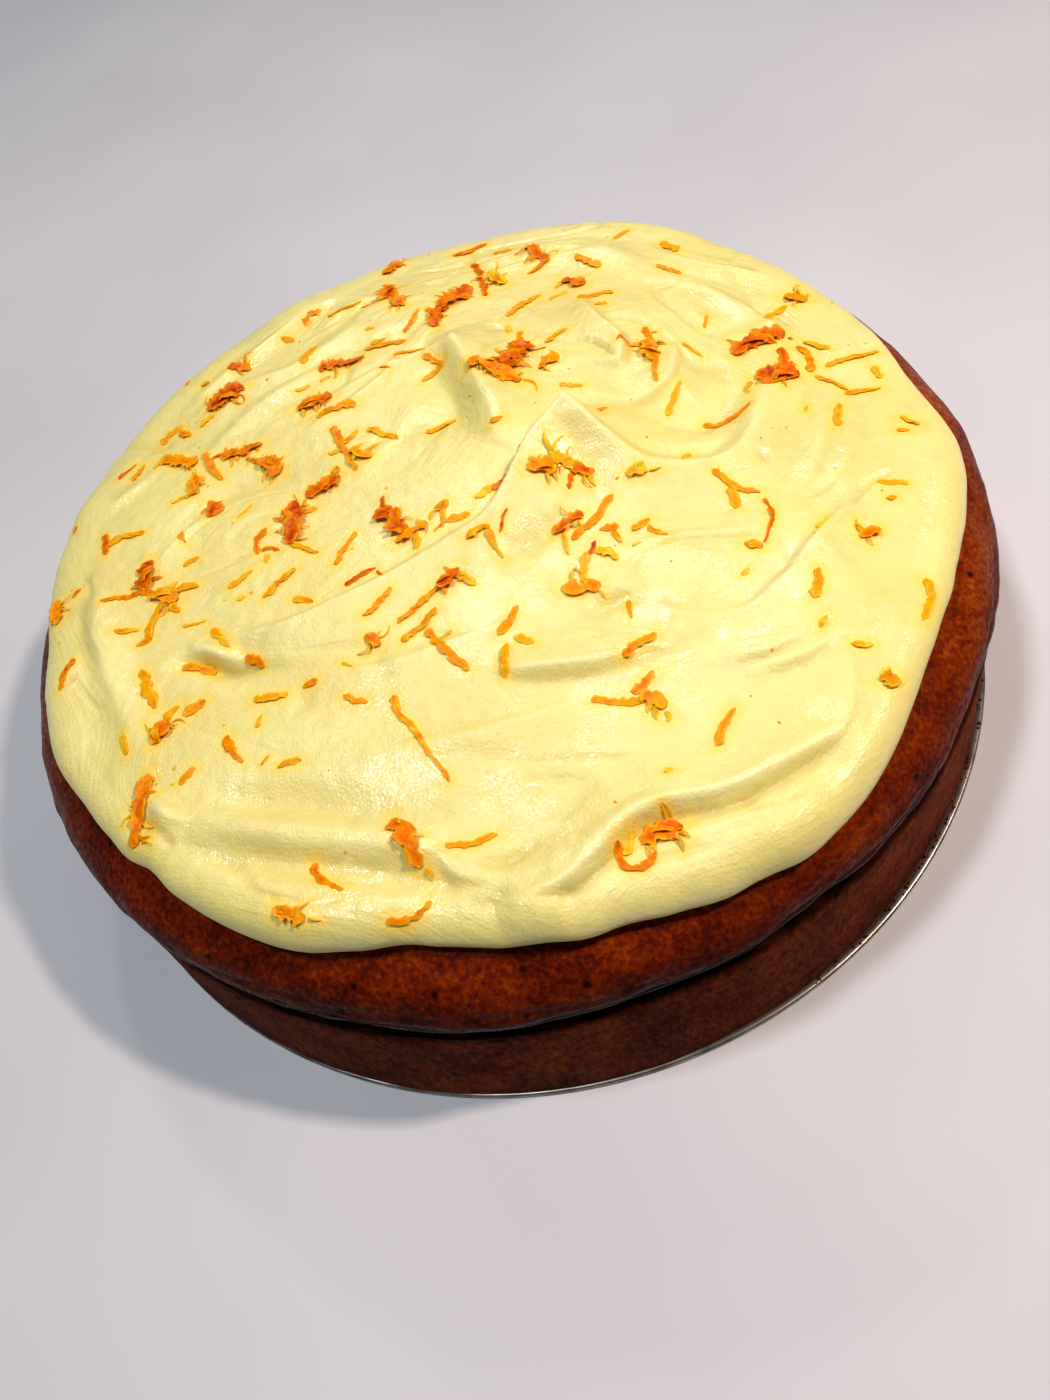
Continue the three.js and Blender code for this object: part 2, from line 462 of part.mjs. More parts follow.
function geometryFrom(solid) {
  const { vertProperties, triVerts } = solid.getMesh();
  const geometry = new THREE.BufferGeometry();
  geometry.setAttribute("position", new THREE.BufferAttribute(vertProperties, 3));
  geometry.setIndex(new THREE.BufferAttribute(triVerts, 1));
  return geometry;
}

function frostingGeometry() {
  const seat = solidOf(revolve((angle) => spongeOutline(angle, CRUMB_GAP), SPONGE_SEGMENTS));
  const layer = solidOf(frostingBlank()).subtract(seat);
  const shreds = LARGE_SHREDS.map((shred) => solidOf(shredGeometry(shred)));
  return geometryFrom(wasm.Manifold.union([layer, ...shreds]).simplify(FACET_TOLERANCE));
}

function tinGeometry() {
  const rim = [-90, -45, 0, 45, 90].map(degrees).map((turn) => new THREE.Vector2(
    TIN_RADIUS - TIN_EDGE * (1 - Math.cos(turn)),
    (TIN_THICKNESS / 2) * (1 + Math.sin(turn)),
  ));
  const outline = [new THREE.Vector2(0, 0), ...rim, new THREE.Vector2(0, TIN_THICKNESS)];
  return new THREE.LatheGeometry(outline, TIN_SEGMENTS).rotateX(Math.PI / 2);
}

// ---- Assembly --------------------------------------------------------------------------------
function material(color, roughness, metalness = 0) {
  return new THREE.MeshStandardMaterial({ color, roughness, metalness });
}

function named(name, geometry, finish) {
  const mesh = new THREE.Mesh(geometry, finish);
  mesh.name = name;
  return mesh;
}

const cake = new THREE.Group();
cake.name = "poppy_seed_cake";
cake.add(
  named("tin_base", tinGeometry(), material(0xb9b4aa, 0.3, 1)),
  named("sponge", revolve((angle) => spongeOutline(angle), SPONGE_SEGMENTS), material(0x5a2409, 0.5)),
  named("frosting", frostingGeometry(), material(0xf3e29a, 0.4)),
);

export default cake;
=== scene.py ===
"""Looks of a round poppy seed cake: browned sponge on the loose metal base of its tin, a thick
knife-swirled cream cheese frosting, and orange zest scattered over it. Lengths are in millimetres
until a mesh is made; the frame is +Z up with the cake's front towards -Y."""

import math

import bpy
import numpy as np
from mathutils import Matrix, Vector
from mathutils.kdtree import KDTree


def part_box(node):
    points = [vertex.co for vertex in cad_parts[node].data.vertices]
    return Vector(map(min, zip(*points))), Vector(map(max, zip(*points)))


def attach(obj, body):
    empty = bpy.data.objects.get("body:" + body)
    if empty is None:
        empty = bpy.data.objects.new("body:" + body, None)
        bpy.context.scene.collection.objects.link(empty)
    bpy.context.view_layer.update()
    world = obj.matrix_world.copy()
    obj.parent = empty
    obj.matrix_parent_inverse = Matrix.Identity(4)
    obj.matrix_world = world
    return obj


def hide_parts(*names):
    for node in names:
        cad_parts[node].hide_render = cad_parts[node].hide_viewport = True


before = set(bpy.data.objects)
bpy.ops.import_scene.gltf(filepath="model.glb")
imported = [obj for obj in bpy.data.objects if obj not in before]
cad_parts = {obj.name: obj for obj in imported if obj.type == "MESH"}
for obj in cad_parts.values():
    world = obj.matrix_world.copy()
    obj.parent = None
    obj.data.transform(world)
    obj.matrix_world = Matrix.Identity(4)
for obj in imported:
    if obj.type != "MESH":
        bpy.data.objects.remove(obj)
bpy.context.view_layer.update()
MM = 0.001


def node_box(name):
    """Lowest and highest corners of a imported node, in millimetres."""
    low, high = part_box(name)
    return np.array(low) / MM, np.array(high) / MM


TIN_LOW, TIN_HIGH = node_box("tin_base")

# ---- Sizes, the part's own but for the waist's fill, the slumped tip and the ragged edge ---------
TIN_RADIUS = (TIN_HIGH[0] - TIN_LOW[0]) / 2
TIN_THICKNESS = TIN_HIGH[2]
WALL_FOOT_RADIUS = 114.6
BARE_RIM = 1.4  # how much more of the base's rim is bare at the front right
BARE_RIM_DIRECTION = 312  # in degrees
BARE_RIM_HALF_WIDTH = 42
WALL_TOP_RADIUS = 112.0
WALL_TOP = 32.0
GROOVE_RADIUS = 109.6
GROOVE_HEIGHT = 34.2
WAIST_FILL = 1.2  # how much shallower the waist is at the front left
WAIST_FILL_DIRECTION = 238
WAIST_FILL_HALF_WIDTH = 45
BULGE_RADIUS = 111.8
BULGE_HEIGHT = 38.6
SHOULDER_RADIUS = 97
SHOULDER_HEIGHT = 50.4
SPONGE_HEIGHT = node_box("sponge")[1][2]
CRUMB_GAP = 0.3

FROSTING_HEIGHT = 62.5
TIP_SLUMPS_FROM = 70.8  # above this height the soft tip of the peak has sunk
TIP_SLUMP = 0.4  # by this share of what stands above it
FROSTING_DROP = 6.5
DROP_RADIUS = 98
EDGE_RADIUS = 103.4
EDGE_RAGGED = 0.4  # fine unevenness of the edge, over lengths of about 8 mm
EDGE_RAGGED_LENGTH = 8
LIP_RUN = 6
LIP_TUCK = 2.4
LIP_BELLY = 0.42  # share of the lip's height at which it is widest
CREST_ROUND = 0.22
CREST_POWER = 1.7
BLEND_POWER = 3

EDGE_LOBES = [
    (18, -1.5, 12), (51, 3.2, 13), (86, 1.6, 6), (114, -2.6, 9), (150, 0.6, 9), (178, -1.8, 6),
    (194, 1.2, 5), (216, -1.2, 3), (233, 1.0, 8), (250, -2.6, 8), (290, 4.6, 15), (316, -1.2, 9),
    (341, 1.8, 8), (357, -1.6, 7),
]

LIP_LOBES = [(150, 8, 40), (92, 5, 26), (20, 2, 25)]

# Strokes of the knife: a line of [x, y, height], and how far its left and right sides run out.
SWIRLS = [
    # the ridge that climbs from the left to the middle peak; its far side drops off
    [[[-55, -18, 0.8], [-45, -21, 2.4], [-34, -21, 2.5], [-21, -19, 1.7], [-8, -16, 1.8], [2, -14, 3],
      [9, -9, 4.6], [16, -2, 7], [23, 2, 9], [27, 4, 10]], 2.2, 20],
    # the other edge of the peak, which runs on as the rim of the bowl
    [[[27, 4, 10], [30, -1, 7.6], [33, -6, 5.8], [37, -13, 4], [44, -18, 3.4], [53, -20, 3.2],
      [61, -15, 2.8], [69, -2, 1]], 4.2, 12],
    # the bowl right of the peak, and the step round its back
    [[[39, 20, -0.6], [42, 9, -2], [48, -1, -3], [56, -5, -3], [65, 3, -1]], 12, 6.5],
    [[[37, 13, 0.4], [44, 8, 1.3], [52, 10, 1.5], [57, 18, 1.2], [58, 25, 0.4]], 10, 1.5],
    # the crest left of and behind the peak, and the scoop on its left
    [[[11, 54, 0.8], [11, 45, 4.4], [12, 32, 4.6], [13, 17, 4.2], [12, 10, 2.6], [9, 7, 0.6]], 14, 7],
    [[[3, 47, -0.6], [5, 34, -1.3], [5, 22, -1.4], [0, 11, -0.3]], 6, 13],
    # folds that run down to the left from its tip
    [[[11, 46, 4], [-4, 49, 2.2], [-16, 47, 1.5], [-25, 45, 0.4]], 9, 2],
    [[[-3, 52, 0.6], [-8, 45, 2], [-15, 41, 2], [-28, 37, 0.4]], 3, 3],
    [[[-16, 61, 0.4], [-30, 57, 1.2], [-44, 51, 1.2], [-56, 43, 0.4]], 6, 4],
    # the grooves and beads along the back left edge
    [[[-44, 73, -0.8], [-31, 79, -1.5], [-17, 87, -0.8]], 3, 3],
    [[[-54, 70, 0.8], [-36, 80, 1.5], [-16, 91, 1.2], [-8, 95, 0.5]], 3.5, 3],
    [[[-48, 66, 0.6], [-30, 63, 2], [-13, 71, 0.7]], 5, 5],
    [[[-15, 75, -0.4], [-9, 82, -1.4], [-3, 82, -0.5]], 3, 4],
    [[[-66, 56, -0.8], [-77, 58, -2], [-87, 49, -2], [-95, 33, -0.8]], 2, 3],
    [[[-73, 59, 0.8], [-82, 51, 1.7], [-92, 40, 1]], 3, 3],
    [[[-85, 38, 0.4], [-79, 41, 1.2], [-71, 46, 0.4]], 6, 3],
    # the sharp lick and the valley inside the left edge, and the soft roll outside them
    [[[-73, 12, 0.6], [-69, 14, 2], [-61, 21, 1.2], [-55, 24, 0.3]], 1.3, 9],
    [[[-61, 25, -0.8], [-50, 28, -1.9], [-33, 24, -0.4]], 6, 6],
    [[[-86, 16, 0.4], [-87, 0, 1.8], [-84, -18, 2], [-80, -34, 0.6]], 8, 5],
    # the torn curl at the ridge's left end, and the hollow under it
    [[[-65, -16, 1], [-60, -21, 3.2], [-54, -26, 0.6]], 5, 1.6],
    [[[-68, -18, -1.2], [-60, -23, -2.8], [-50, -29, -1.2], [-43, -32, -0.3]], 3, 7],
    # hollows and a step across the middle
    [[[2, -28, -0.5], [8, -24, -2.1], [14, -21, -1.8], [19, -18, -0.5]], 5, 5],
    [[[-7, -50, 0.4], [-1, -53, 2.4], [9, -56, 2.6], [19, -57, 1.8], [30, -56, 0.4]], 12, 2.4],
    [[[13, -45, -0.5], [20, -44, -1.7], [26, -46, -0.5]], 3, 4],
    [[[-44, -34, 0.3], [-28, -40, 1], [-12, -41, 1], [4, -40, 0.3]], 2.4, 9],
    [[[-40, -55, 0.3], [-26, -60, 1.1], [-8, -63, 1.1], [8, -63, 0.3]], 3, 9],
    # the long fold along the front right edge, the groove that it overhangs and the roll outside
    [[[-24, -94, 0.4], [-18, -95, 2], [-9, -96, 3.5], [1, -92, 3.3], [11, -88, 2.8], [24, -90, 2.6],
      [38, -88, 2.6], [47, -86, 2], [52, -80, 1.2], [55, -72, 0.4]], 10, 2.2],
    [[[-1, -94, -0.6], [8, -91, -1.5], [24, -92, -1.4], [44, -89, -0.6]], 2.5, 5],
    [[[-12, -102, 0.8], [3, -101, 1.9], [26, -99, 1.9], [45, -93, 1.8], [59, -81, 1.2],
      [67, -69, 0.5]], 7, 9],
    [[[19, -95, 0.3], [28, -96, 1.3], [37, -93, 0.3]], 5, 1.2],
    [[[-3, -99, -0.3], [10, -98, -1.1], [29, -97, -0.3]], 4, 4],
    # the tongue at the fold's front end, and the bump and notch below it
    [[[-18, -92, 1], [-10, -92, 1.8], [-1, -89, 0.7]], 5, 5],
    [[[-21, -86, -0.4], [-16, -88, -1.2], [-11, -87, -0.4]], 2, 2],
    [[[-27, -82, 0.3], [-25, -87, 1.5], [-18, -91, 0.5]], 9, 2],
    [[[-19, -94, -1], [-23, -96, -1.9], [-26, -99, -1.3]], 3, 3],
    [[[-20, -97, 1], [-19, -99, 2], [-19, -101, 1]], 3.4, 3.4],
    # waves over the front left
    [[[-68, -51, -0.6], [-56, -58, -2.1], [-42, -66, -2], [-29, -74, -0.4]], 6, 6],
    [[[-75, -54, 0.5], [-62, -63, 1.7], [-46, -73, 2.1], [-30, -80, 1.7], [-23, -83, 0.4]], 6, 6],
    [[[-72, -60, -0.5], [-58, -69, -2.2], [-41, -78, -2.7], [-28, -87, -1.3]], 6, 5],
    [[[-78, -61, 0.8], [-62, -75, 2.1], [-46, -85, 2.3], [-28, -93, 0.9]], 5, 7],
    # the lump at the front left corner, with a dent and a nub outside it
    [[[-79, -48, 0.8], [-76, -53, 2.7], [-73, -56, 1]], 4, 5],
    [[[-82, -53, -1], [-81, -56, -2.1], [-78, -59, -0.9]], 3, 3],
    [[[-82, -62, 1.4], [-80, -63, 2], [-78, -62, 0.8]], 2.5, 2.5],
    # licks over the right side
    [[[53, -52, 0.4], [60, -47, 1.6], [68, -42, 1.2], [74, -40, 0.3]], 1.4, 7],
    [[[44, -56, 0.3], [52, -53, 1.5], [58, -50, 0.6]], 2, 8],
    [[[32, -64, 0.3], [43, -67, 1.8], [54, -64, 0.5]], 9, 1.8],
    [[[36, -69, 0.3], [46, -70, 1.3], [55, -68, 0.4]], 7, 1.6],
    [[[71, -7, 0.3], [64, -18, 1.2], [57, -25, 0.3]], 3, 3],
    [[[78, -15, 0.3], [71, -25, 1.1], [65, -31, 0.3]], 2.5, 4],
    [[[81, -21, 0.3], [74, -32, 1.1], [66, -38, 0.3]], 3, 5],
    [[[94, -30, 0.5], [86, -51, 1.2], [73, -70, 1.2], [60, -83, 0.4]], 5, 5],
    # thin folds along the back right edge, and the broad one behind them
    [[[65, 66, 0.3], [72, 53, 1.4], [85, 39, 1.1], [91, 30, 0.3]], 2, 6],
    [[[70, 44, 0.3], [77, 29, 1.3], [83, 16, 0.4]], 2, 6],
    [[[22, 84, 0.4], [40, 78, 1.4], [54, 69, 1.6], [62, 56, 0.4]], 5, 9],
    # the boss behind the bowl
    [[[44, 49, 0.5], [45, 37, 2.7], [47, 27, 3.4], [44, 21, 2], [38, 25, 0.4]], 2, 14],
]
SWIRL_STEPS = 24

# Orange zest: [x, y, heading, length, bend, width, tone]; tone is 0 for deep red-orange, 1 for yellow.
LARGE_SHREDS = [
    # the big tangle behind the peak
    [22.5, 33.5, 50, 13, 15, 6.4, 0.1], [16.5, 28.3, -54, 14, 15, 4, 0.35],
    [29.5, 28, 8, 6, 0, 3.2, 0.5], [26, 41, 62, 6, 0, 1.6, 0.45], [22.5, 21.5, -65, 7, -80, 1, 0.5],
    # the curl on the right
    [75.5, 13.2, 8, 14, -55, 4.2, 0.12], [78.5, 6.5, -95, 8, 0, 2.2, 0.2],
    [82, 4.5, -88, 11, -70, 1.9, 0.4], [74.5, 1.2, -25, 9.5, 30, 5.6, 0.15],
    [90, 25.5, -35, 5.5, 0, 3.4, 0.5],
    # back
    [15, 65, 226, 20, 80, 4.4, 0.2], [24, 74.5, -97, 19, -25, 2.3, 0.15],
    [28, 72, 110, 8, 10, 3.8, 0.75], [41, 76, -72, 10, 25, 2.8, 0.25],
    [39.5, 70.5, 187, 7.5, -20, 1.9, 0.35], [25.5, 91.5, -2, 10, 8, 1.9, 0.3],
    [0.5, 83.5, 80, 8, 30, 5, 0.2], [2, 77, -78, 10, 20, 3.2, 0.4], [4, 97, 34, 7, 10, 3.2, 0.35],
    [-12, 84, 3, 10, 0, 1.2, 0.45], [51, 64, -58, 9, 8, 2.2, 0.5], [45, 58, -50, 7, 0, 3.2, 0.2],
    [48, 49, -12, 9, 12, 1.6, 0.5], [31, 55, 30, 11.5, 12, 2, 0.55],
    [34, 36.5, 8, 6.5, -20, 2, 0.6], [-17, 58, -6, 12, 15, 3.2, 0.2],
    [3.4, 64.7, 45, 9, 12, 1.4, 0.4], [-5, 59.5, -12, 11, 12, 1.8, 0.5],
    [0, 52.5, -10, 8, 10, 1.1, 0.4], [4.5, 44, -47, 6, 0, 1.9, 0.45],
    [3.5, 40.7, 200, 7, 0, 1.8, 0.5],
    # back left
    [-48, 62.5, 12, 11, 15, 4.4, 0.15], [-64, 59.5, 36, 7, -15, 2.2, 0.6],
    [-63, 47, -34, 12.5, 10, 3.4, 0.5], [-46.5, 40, -5, 11, 12, 3, 0.25],
    [-54.3, 39.2, -73, 12.5, 10, 2.2, 0.4], [-39.7, 30.5, -60, 7, 40, 4.2, 0.3],
    [-60, 35, 80, 7, 30, 3.6, 0.45], [-24, 66, 62, 8.5, -15, 2.2, 0.6],
    [-21, 86, 31, 6.5, 0, 2, 0.45], [-26, 46, -14, 9, 20, 4, 0.2],
    [-21.5, 39, -11, 10, -10, 2.2, 0.5], [-43.3, 75, -10, 6, 0, 2.6, 0.25],
    [-22.3, 24.6, -81, 18, 6, 2.2, 0.35], [-19, 20.5, -50, 7, 0, 3, 0.6],
    [-12.6, 24.5, -56, 9, 8, 2, 0.6], [-57.5, 24.5, 80, 8, 120, 3.6, 0.15],
    [-78.3, 26.5, -6, 10, -15, 1.6, 0.6], [0.6, 20.3, 11, 7.5, 8, 1.8, 0.65],
    # left
    [-74, 11, 75, 9, 40, 4.4, 0.1], [-79.3, 7.2, 165, 13, 25, 1.6, 0.35],
    [-70.5, 2.5, -40, 8, 0, 4, 0.5], [-66, 2, -8, 8, -50, 2, 0.55],
    [-73.8, -3.4, -115, 10, -10, 1.8, 0.5], [-38.3, 8.7, 67, 13, 15, 4.8, 0.1],
    [-37, -0.6, -52, 8.5, 20, 1.6, 0.6], [-46, 7, -112, 7.5, 50, 1.8, 0.35],
    [-29.5, 16, 12, 9, 20, 4.2, 0.15], [-52.4, -2.2, 22, 6.5, 0, 2, 0.65],
    [-44, -8, 30, 9.5, 8, 1.8, 0.55], [-97.2, 13.4, -84, 8, 0, 3.2, 0.4],
    [-94.8, -7.8, 55, 8, -25, 1.5, 0.35], [-59.2, -16.3, -63, 8, -20, 2.2, 0.6],
    [-65.7, -20, -18, 7.5, -15, 2.2, 0.5], [-76.7, -21, -76, 12, 5, 2.2, 0.6],
    [-75, -33.5, 45, 6, 20, 3.8, 0.35], [-81.3, -49, -108, 15, 15, 3.4, 0.35],
    # middle
    [-16.5, -3.2, -80, 10, 20, 4.8, 0.15], [-13.5, -8.8, 25, 8, 0, 3.2, 0.5],
    [-28.2, -5.6, 50, 9.5, 5, 1.8, 0.5], [-26.7, -15.4, 6, 7.5, 0, 1.2, 0.05],
    [-5.8, -7.3, -98, 7, 0, 1.2, 0.5], [10.2, -4, 28, 10, 40, 1.8, 0.1],
    [17.3, -9, -10, 6.5, 20, 4, 0.4], [21.8, -8.5, -15, 5.5, 0, 3.4, 0.75],
    [25, -11, -15, 5, 0, 2.8, 0.35], [22.9, -23, 35, 14, 0, 1.6, 0.45],
    [17.8, -22.6, 18, 7.5, -20, 2.8, 0.3], [-0.3, -18, 8, 5.5, -30, 2, 0.5],
    [2.3, -21.5, -82, 7.5, 20, 1.8, 0.6], [-16.5, -29, 27, 12, -15, 1.9, 0.4],
    [-9.3, -25.2, 20, 6, 60, 4, 0.15], [-24.6, -25, 22, 8.5, 10, 1.8, 0.5],
    [-17.9, -33.9, 31, 10, 0, 1.9, 0.55], [-14.2, -41.8, -71, 14, 8, 1.9, 0.45],
    [-1, -40.2, 43, 8, 0, 1.7, 0.5], [-4, -49.3, -114, 8, -10, 1.9, 0.6],
    [15, -38.5, -20, 8, 0, 3.2, 0.5], [17.4, -33.6, -120, 6, 0, 2.2, 0.75],
    # right of the middle
    [52, 20, -106, 22, 8, 1.9, 0.4], [52.5, 21, -100, 9, 20, 3.6, 0.45],
    [60, -4.5, -12, 11.5, 45, 1.7, 0.4], [51.5, 5, 44, 9, 5, 1.5, 0.65],
    [92, 0.5, -8, 12.5, 8, 1.4, 0.5], [84, -5.4, -71, 8.5, -20, 1.1, 0.5],
    [89, -10.5, 0, 8, 12, 1.4, 0.5], [80.6, -16, 60, 7.5, 0, 2, 0.6],
    [53, -26.5, -50, 11, 45, 1.7, 0.55], [54, -37.6, -112, 12.5, -45, 1.3, 0.1],
    # front
    [-24.2, -58.4, -77, 23, 8, 1.7, 0.55], [13, -65.9, -20, 10.5, 0, 1.5, 0.5],
    [18.4, -63.8, 30, 6, 0, 2.2, 0.45], [18.6, -68.2, -60, 5.5, 0, 2.6, 0.5],
    [20.6, -56.5, 22, 8, 0, 2, 0.5], [74, -67.7, -99, 11, -10, 1.8, 0.55],
    [56.3, -56.5, 55, 7, 0, 1.9, 0.6], [28.8, -78, 45, 8.5, 0, 2, 0.5],
    [-20.8, -81.9, -9, 9.5, 8, 1.6, 0.6], [-32, -77.6, -80, 11.5, 10, 3.4, 0.3],
    [-47.4, -78, -62, 9.7, 60, 1.8, 0.4], [-34.8, -90.1, -4, 8.8, 85, 1.8, 0.35],
    [-56.3, -84.4, -66, 8, 0, 3, 0.5], [-60, -44.6, -74, 8, 55, 2, 0.35],
    [-50.8, -36, -12, 7.5, 10, 2, 0.6], [5.8, -94, 140, 11, -170, 1.6, 0.3],
    [10.7, -93, -10, 7.5, 0, 4.4, 0.3],
]
SMALL_SHREDS = [
    # back
    [33, 83.5, -15, 5, 0, 1.7, 0.45], [40, 54.5, 6, 5, 0, 1.5, 0.85],
    [48, 44.6, -20, 3, 0, 1.4, 0.6], [24.6, 46.5, 80, 4, 0, 1.2, 0.9],
    [28.5, 34.5, -30, 5, 20, 0.8, 0.3], [-6.5, 62, -10, 4, 0, 1.4, 0.7],
    [-5, 82, 165, 6, 20, 1, 0.3], [-22, 54, 20, 3, 0, 1.2, 0.85], [-7.4, 68, -30, 2.5, 0, 1.2, 0.7],
    [12.5, 11.2, 10, 3, 0, 2, 0.3], [31.7, 18, -33, 5.5, 0, 1.4, 0.7],
    [-7, 47.5, -40, 3, -30, 0.8, 0.15], [63, 72.5, 22, 5.5, 25, 1.1, 0.6],
    [71.5, 60.2, -52, 6, 0, 2, 0.5], [67.7, 50, -64, 7.5, 10, 1.2, 0.55],
    [48.3, 25, -8, 5.5, -20, 1.3, 0.25], [54.5, 27.5, 20, 3.5, 0, 1.2, 0.5],
    [61.3, 18.3, -55, 6.5, 15, 1.1, 0.65], [68, 27, 65, 4.3, 0, 1, 0.7],
    [84, 22.7, 23, 6.5, 0, 1.8, 0.6], [87, 8, -48, 6.5, 0, 1.5, 0.65],
    [94.4, -6.2, -88, 4, 0, 1.8, 0.65], [35, 4, 53, 4.2, -10, 1.6, 0.45],
    [46.8, -14.3, 15, 2.6, 0, 1.6, 0.7], [35, -17, -15, 4.5, 0, 2.6, 0.85],
    [75.4, -11.3, 60, 2, 0, 1.2, 0.65],
    # left
    [-29, 81.3, -10, 3.2, 0, 1.8, 0.4], [-53, 74, 0, 2.4, 0, 2, 0.5], [-54, 58, 35, 5, 0, 2.2, 0.8],
    [-60.4, 57, -60, 4.5, 0, 2.2, 0.5], [-77, 52.4, 27, 6, 0, 1.1, 0.15],
    [-74, 50, 52, 6, 0, 1.8, 0.6], [-52.5, 41, 170, 5, 60, 1.1, 0.1],
    [-43.8, 34, -36, 6, 0, 1.2, 0.15], [-63.5, 32, 188, 5, 0, 1.4, 0.8],
    [-58, 79, 60, 2, 0, 1, 0.1], [-28, 53.5, 0, 4, 30, 1.2, 0.8], [-20, 27.5, 35, 5, 0, 1.6, 0.5],
    [-24, 24.5, -10, 4.5, 0, 1.5, 0.8], [-83.7, 27.5, -88, 6.5, 0, 1.7, 0.1],
    [-64, 17, -60, 3.5, 0, 2.2, 0.45], [-63, 9.5, 14, 4, 0, 1.5, 0.45],
    [-48.5, 18.3, 37, 4.5, 30, 0.9, 0.8], [-34, 10.5, -10, 4, 0, 1.6, 0.5],
    [-44.5, 3, -25, 4.5, -40, 1.5, 0.2], [-45.5, 0.5, -100, 3, 0, 1.5, 0.75],
    [-53, -7.7, 0, 1.8, 0, 1.4, 0.9], [-39.8, -15.6, -25, 5, 0, 1.7, 0.55],
    [-76.5, -8, 190, 3.5, 0, 2, 0.5], [-68.5, -2, -50, 4, 0, 2.2, 0.5],
    [-80, -2.8, -12, 5.5, 15, 1.7, 0.6], [-64.5, -8.7, -8, 5.5, 10, 1, 0.7],
    [-52.6, -25.6, -55, 5.5, 0, 1.8, 0.35], [-42.3, -37, 0, 3.5, 40, 1.4, 0.35],
    [-92, 16.5, 50, 3, 0, 1.4, 0.35], [-93.7, 39.8, 60, 2.5, 0, 1, 0.1],
    [-27.8, 18.3, 25, 7, 10, 1.5, 0.35], [-67, -31, 20, 5, 0, 2.4, 0.45],
    [-72, -29.8, 40, 4, 0, 2, 0.5], [-83, -32.6, -102, 5, 0, 1.6, 0.6],
    [-70.7, -46, 30, 4.5, 0, 1.5, 0.6], [-54.2, -40.7, 65, 3, 0, 1.1, 0.65],
    [-54.6, -49.8, 35, 2.5, 0, 0.7, 0.6], [-50, -52.9, -5, 5, 0, 1.9, 0.6],
    [-34.2, -44.9, -30, 5.5, 0, 1.7, 0.55],
    # middle
    [-17.5, 2.5, 75, 4.5, -30, 1.1, 0.1], [-13, -11.5, -95, 5, 0, 1.4, 0.65],
    [-22.5, -16.5, -70, 2.5, 0, 0.8, 0.05], [-5.5, -4.7, 20, 3.5, 0, 2.2, 0.4],
    [-7.5, -10, 200, 3.5, 0, 1.3, 0.6], [-3.2, -10, -20, 5.5, 0, 1.7, 0.5],
    [4.4, -6.2, 3, 5.2, 0, 2, 0.9], [22, -12.7, 232, 5, 0, 1.6, 0.1],
    [15.6, -27, -92, 5.5, 0, 1.1, 0.8], [5.5, -17.8, 55, 5.5, -30, 0.7, 0.2],
    [-6.2, -27.4, -60, 5.5, 0, 2.2, 0.75], [-27.8, -33.5, -50, 4, 0, 2.6, 0.45],
    [-34, -36.7, -40, 3, 0, 0.9, 0.75], [-14, -38.5, 20, 4, 0, 1.1, 0.6],
    [0.6, -46, -50, 4.5, 0, 2.2, 0.75], [20, -30.5, 55, 4, 0, 1.5, 0.05],
    [22, -33.6, -50, 5.5, -60, 2, 0.8], [25, -27.3, -15, 4, -20, 1.7, 0.4],
    [25.6, -29.8, -70, 3.5, 0, 1.5, 0.5], [31.2, -29, 20, 4.5, 0, 1.7, 0.5],
    [33.8, -32, -62, 4.8, 0, 1.7, 0.5], [28.5, -33.6, 10, 1.8, 0, 0.7, 0.85],
    [50.8, -30, -100, 5, 0, 2, 0.65], [49.6, -42.8, -40, 3.6, 0, 2.4, 0.6],
    [45.5, -48.4, 30, 2, 0, 1.4, 1], [22, -47.2, -92, 5, 0, 1.5, 0.45],
    # right and front
    [93, -23.5, -60, 4.5, 0, 1.8, 0.6], [90.3, -25.7, -20, 2.5, 0, 1.4, 0.6],
    [81.3, -38.3, -40, 6, 0, 1.4, 0.7], [79.2, -42, -10, 2, 0, 1.3, 0.5],
    [71.4, -48.4, 0, 4.5, 0, 2.6, 0.45], [64, -43, 20, 3.5, 0, 1.1, 0.95],
    [53.7, -65, 40, 3, 0, 1.4, 0.7], [58, -71.8, -20, 3.8, 0, 1.7, 0.75],
    [59.4, -80.5, -15, 4.5, 0, 2.8, 0.55], [4.8, -92.6, 40, 4.5, 0, 1.8, 0.85],
    [16, -82.8, 0, 1.6, 0, 1.2, 1],
]
SHEET_WIDTH = 2.5  # from this width on, a piece is crumpled and has loose fibres
FOLDED_WIDTH = 3.5  # and beyond this one a fold lies over it
STRIP_THICKNESS = 0.28
STRIP_WIDTH_SHARE = 0.9  # of the width in the rows, which is to the tips of the torn rim
STRAND_STEP = 0.4
WOBBLE_LENGTH = 2.6
ZEST_MARGIN = 3.5  # how far inside the mean edge of the frosting all zest stays

# Small marks in the frosting: [x, y, radius, height]; a burst air bubble and a tip left at the edge.
SMALL_MARKS = [[61, -22.5, 1.5, -0.8], [14, 97.5, 1.5, 2]]

# Where the frosting is wet and glossy: [x, y, radius].
WET_PATCHES = [
    [26, -48, 9], [-10, -43, 9], [-13, -75, 8], [-24, -66, 6], [-9, -81, 6], [-44, -83, 9], [71, -40, 7],
    [57, 8, 7], [64, -20, 7], [82, -32, 7], [29, -4, 7], [22, -6, 5], [-70, -62, 6], [-30, -88, 8],
    [2, -103, 7], [-52, -20, 5], [84, 20, 6], [40, -62, 6],
]

# ---- The camera, as the photograph was taken -----------------------------------------------------
CAMERA_ELEVATION = 54.754
CAMERA_ROLL = -20.451
CAMERA_OFFSET = (-1.576, 13.727)  # of the origin from the middle of the view
CAMERA_DISTANCE = 280.63
CAMERA_LENS = 27.05
CAMERA_SENSOR = 36  # along its long side


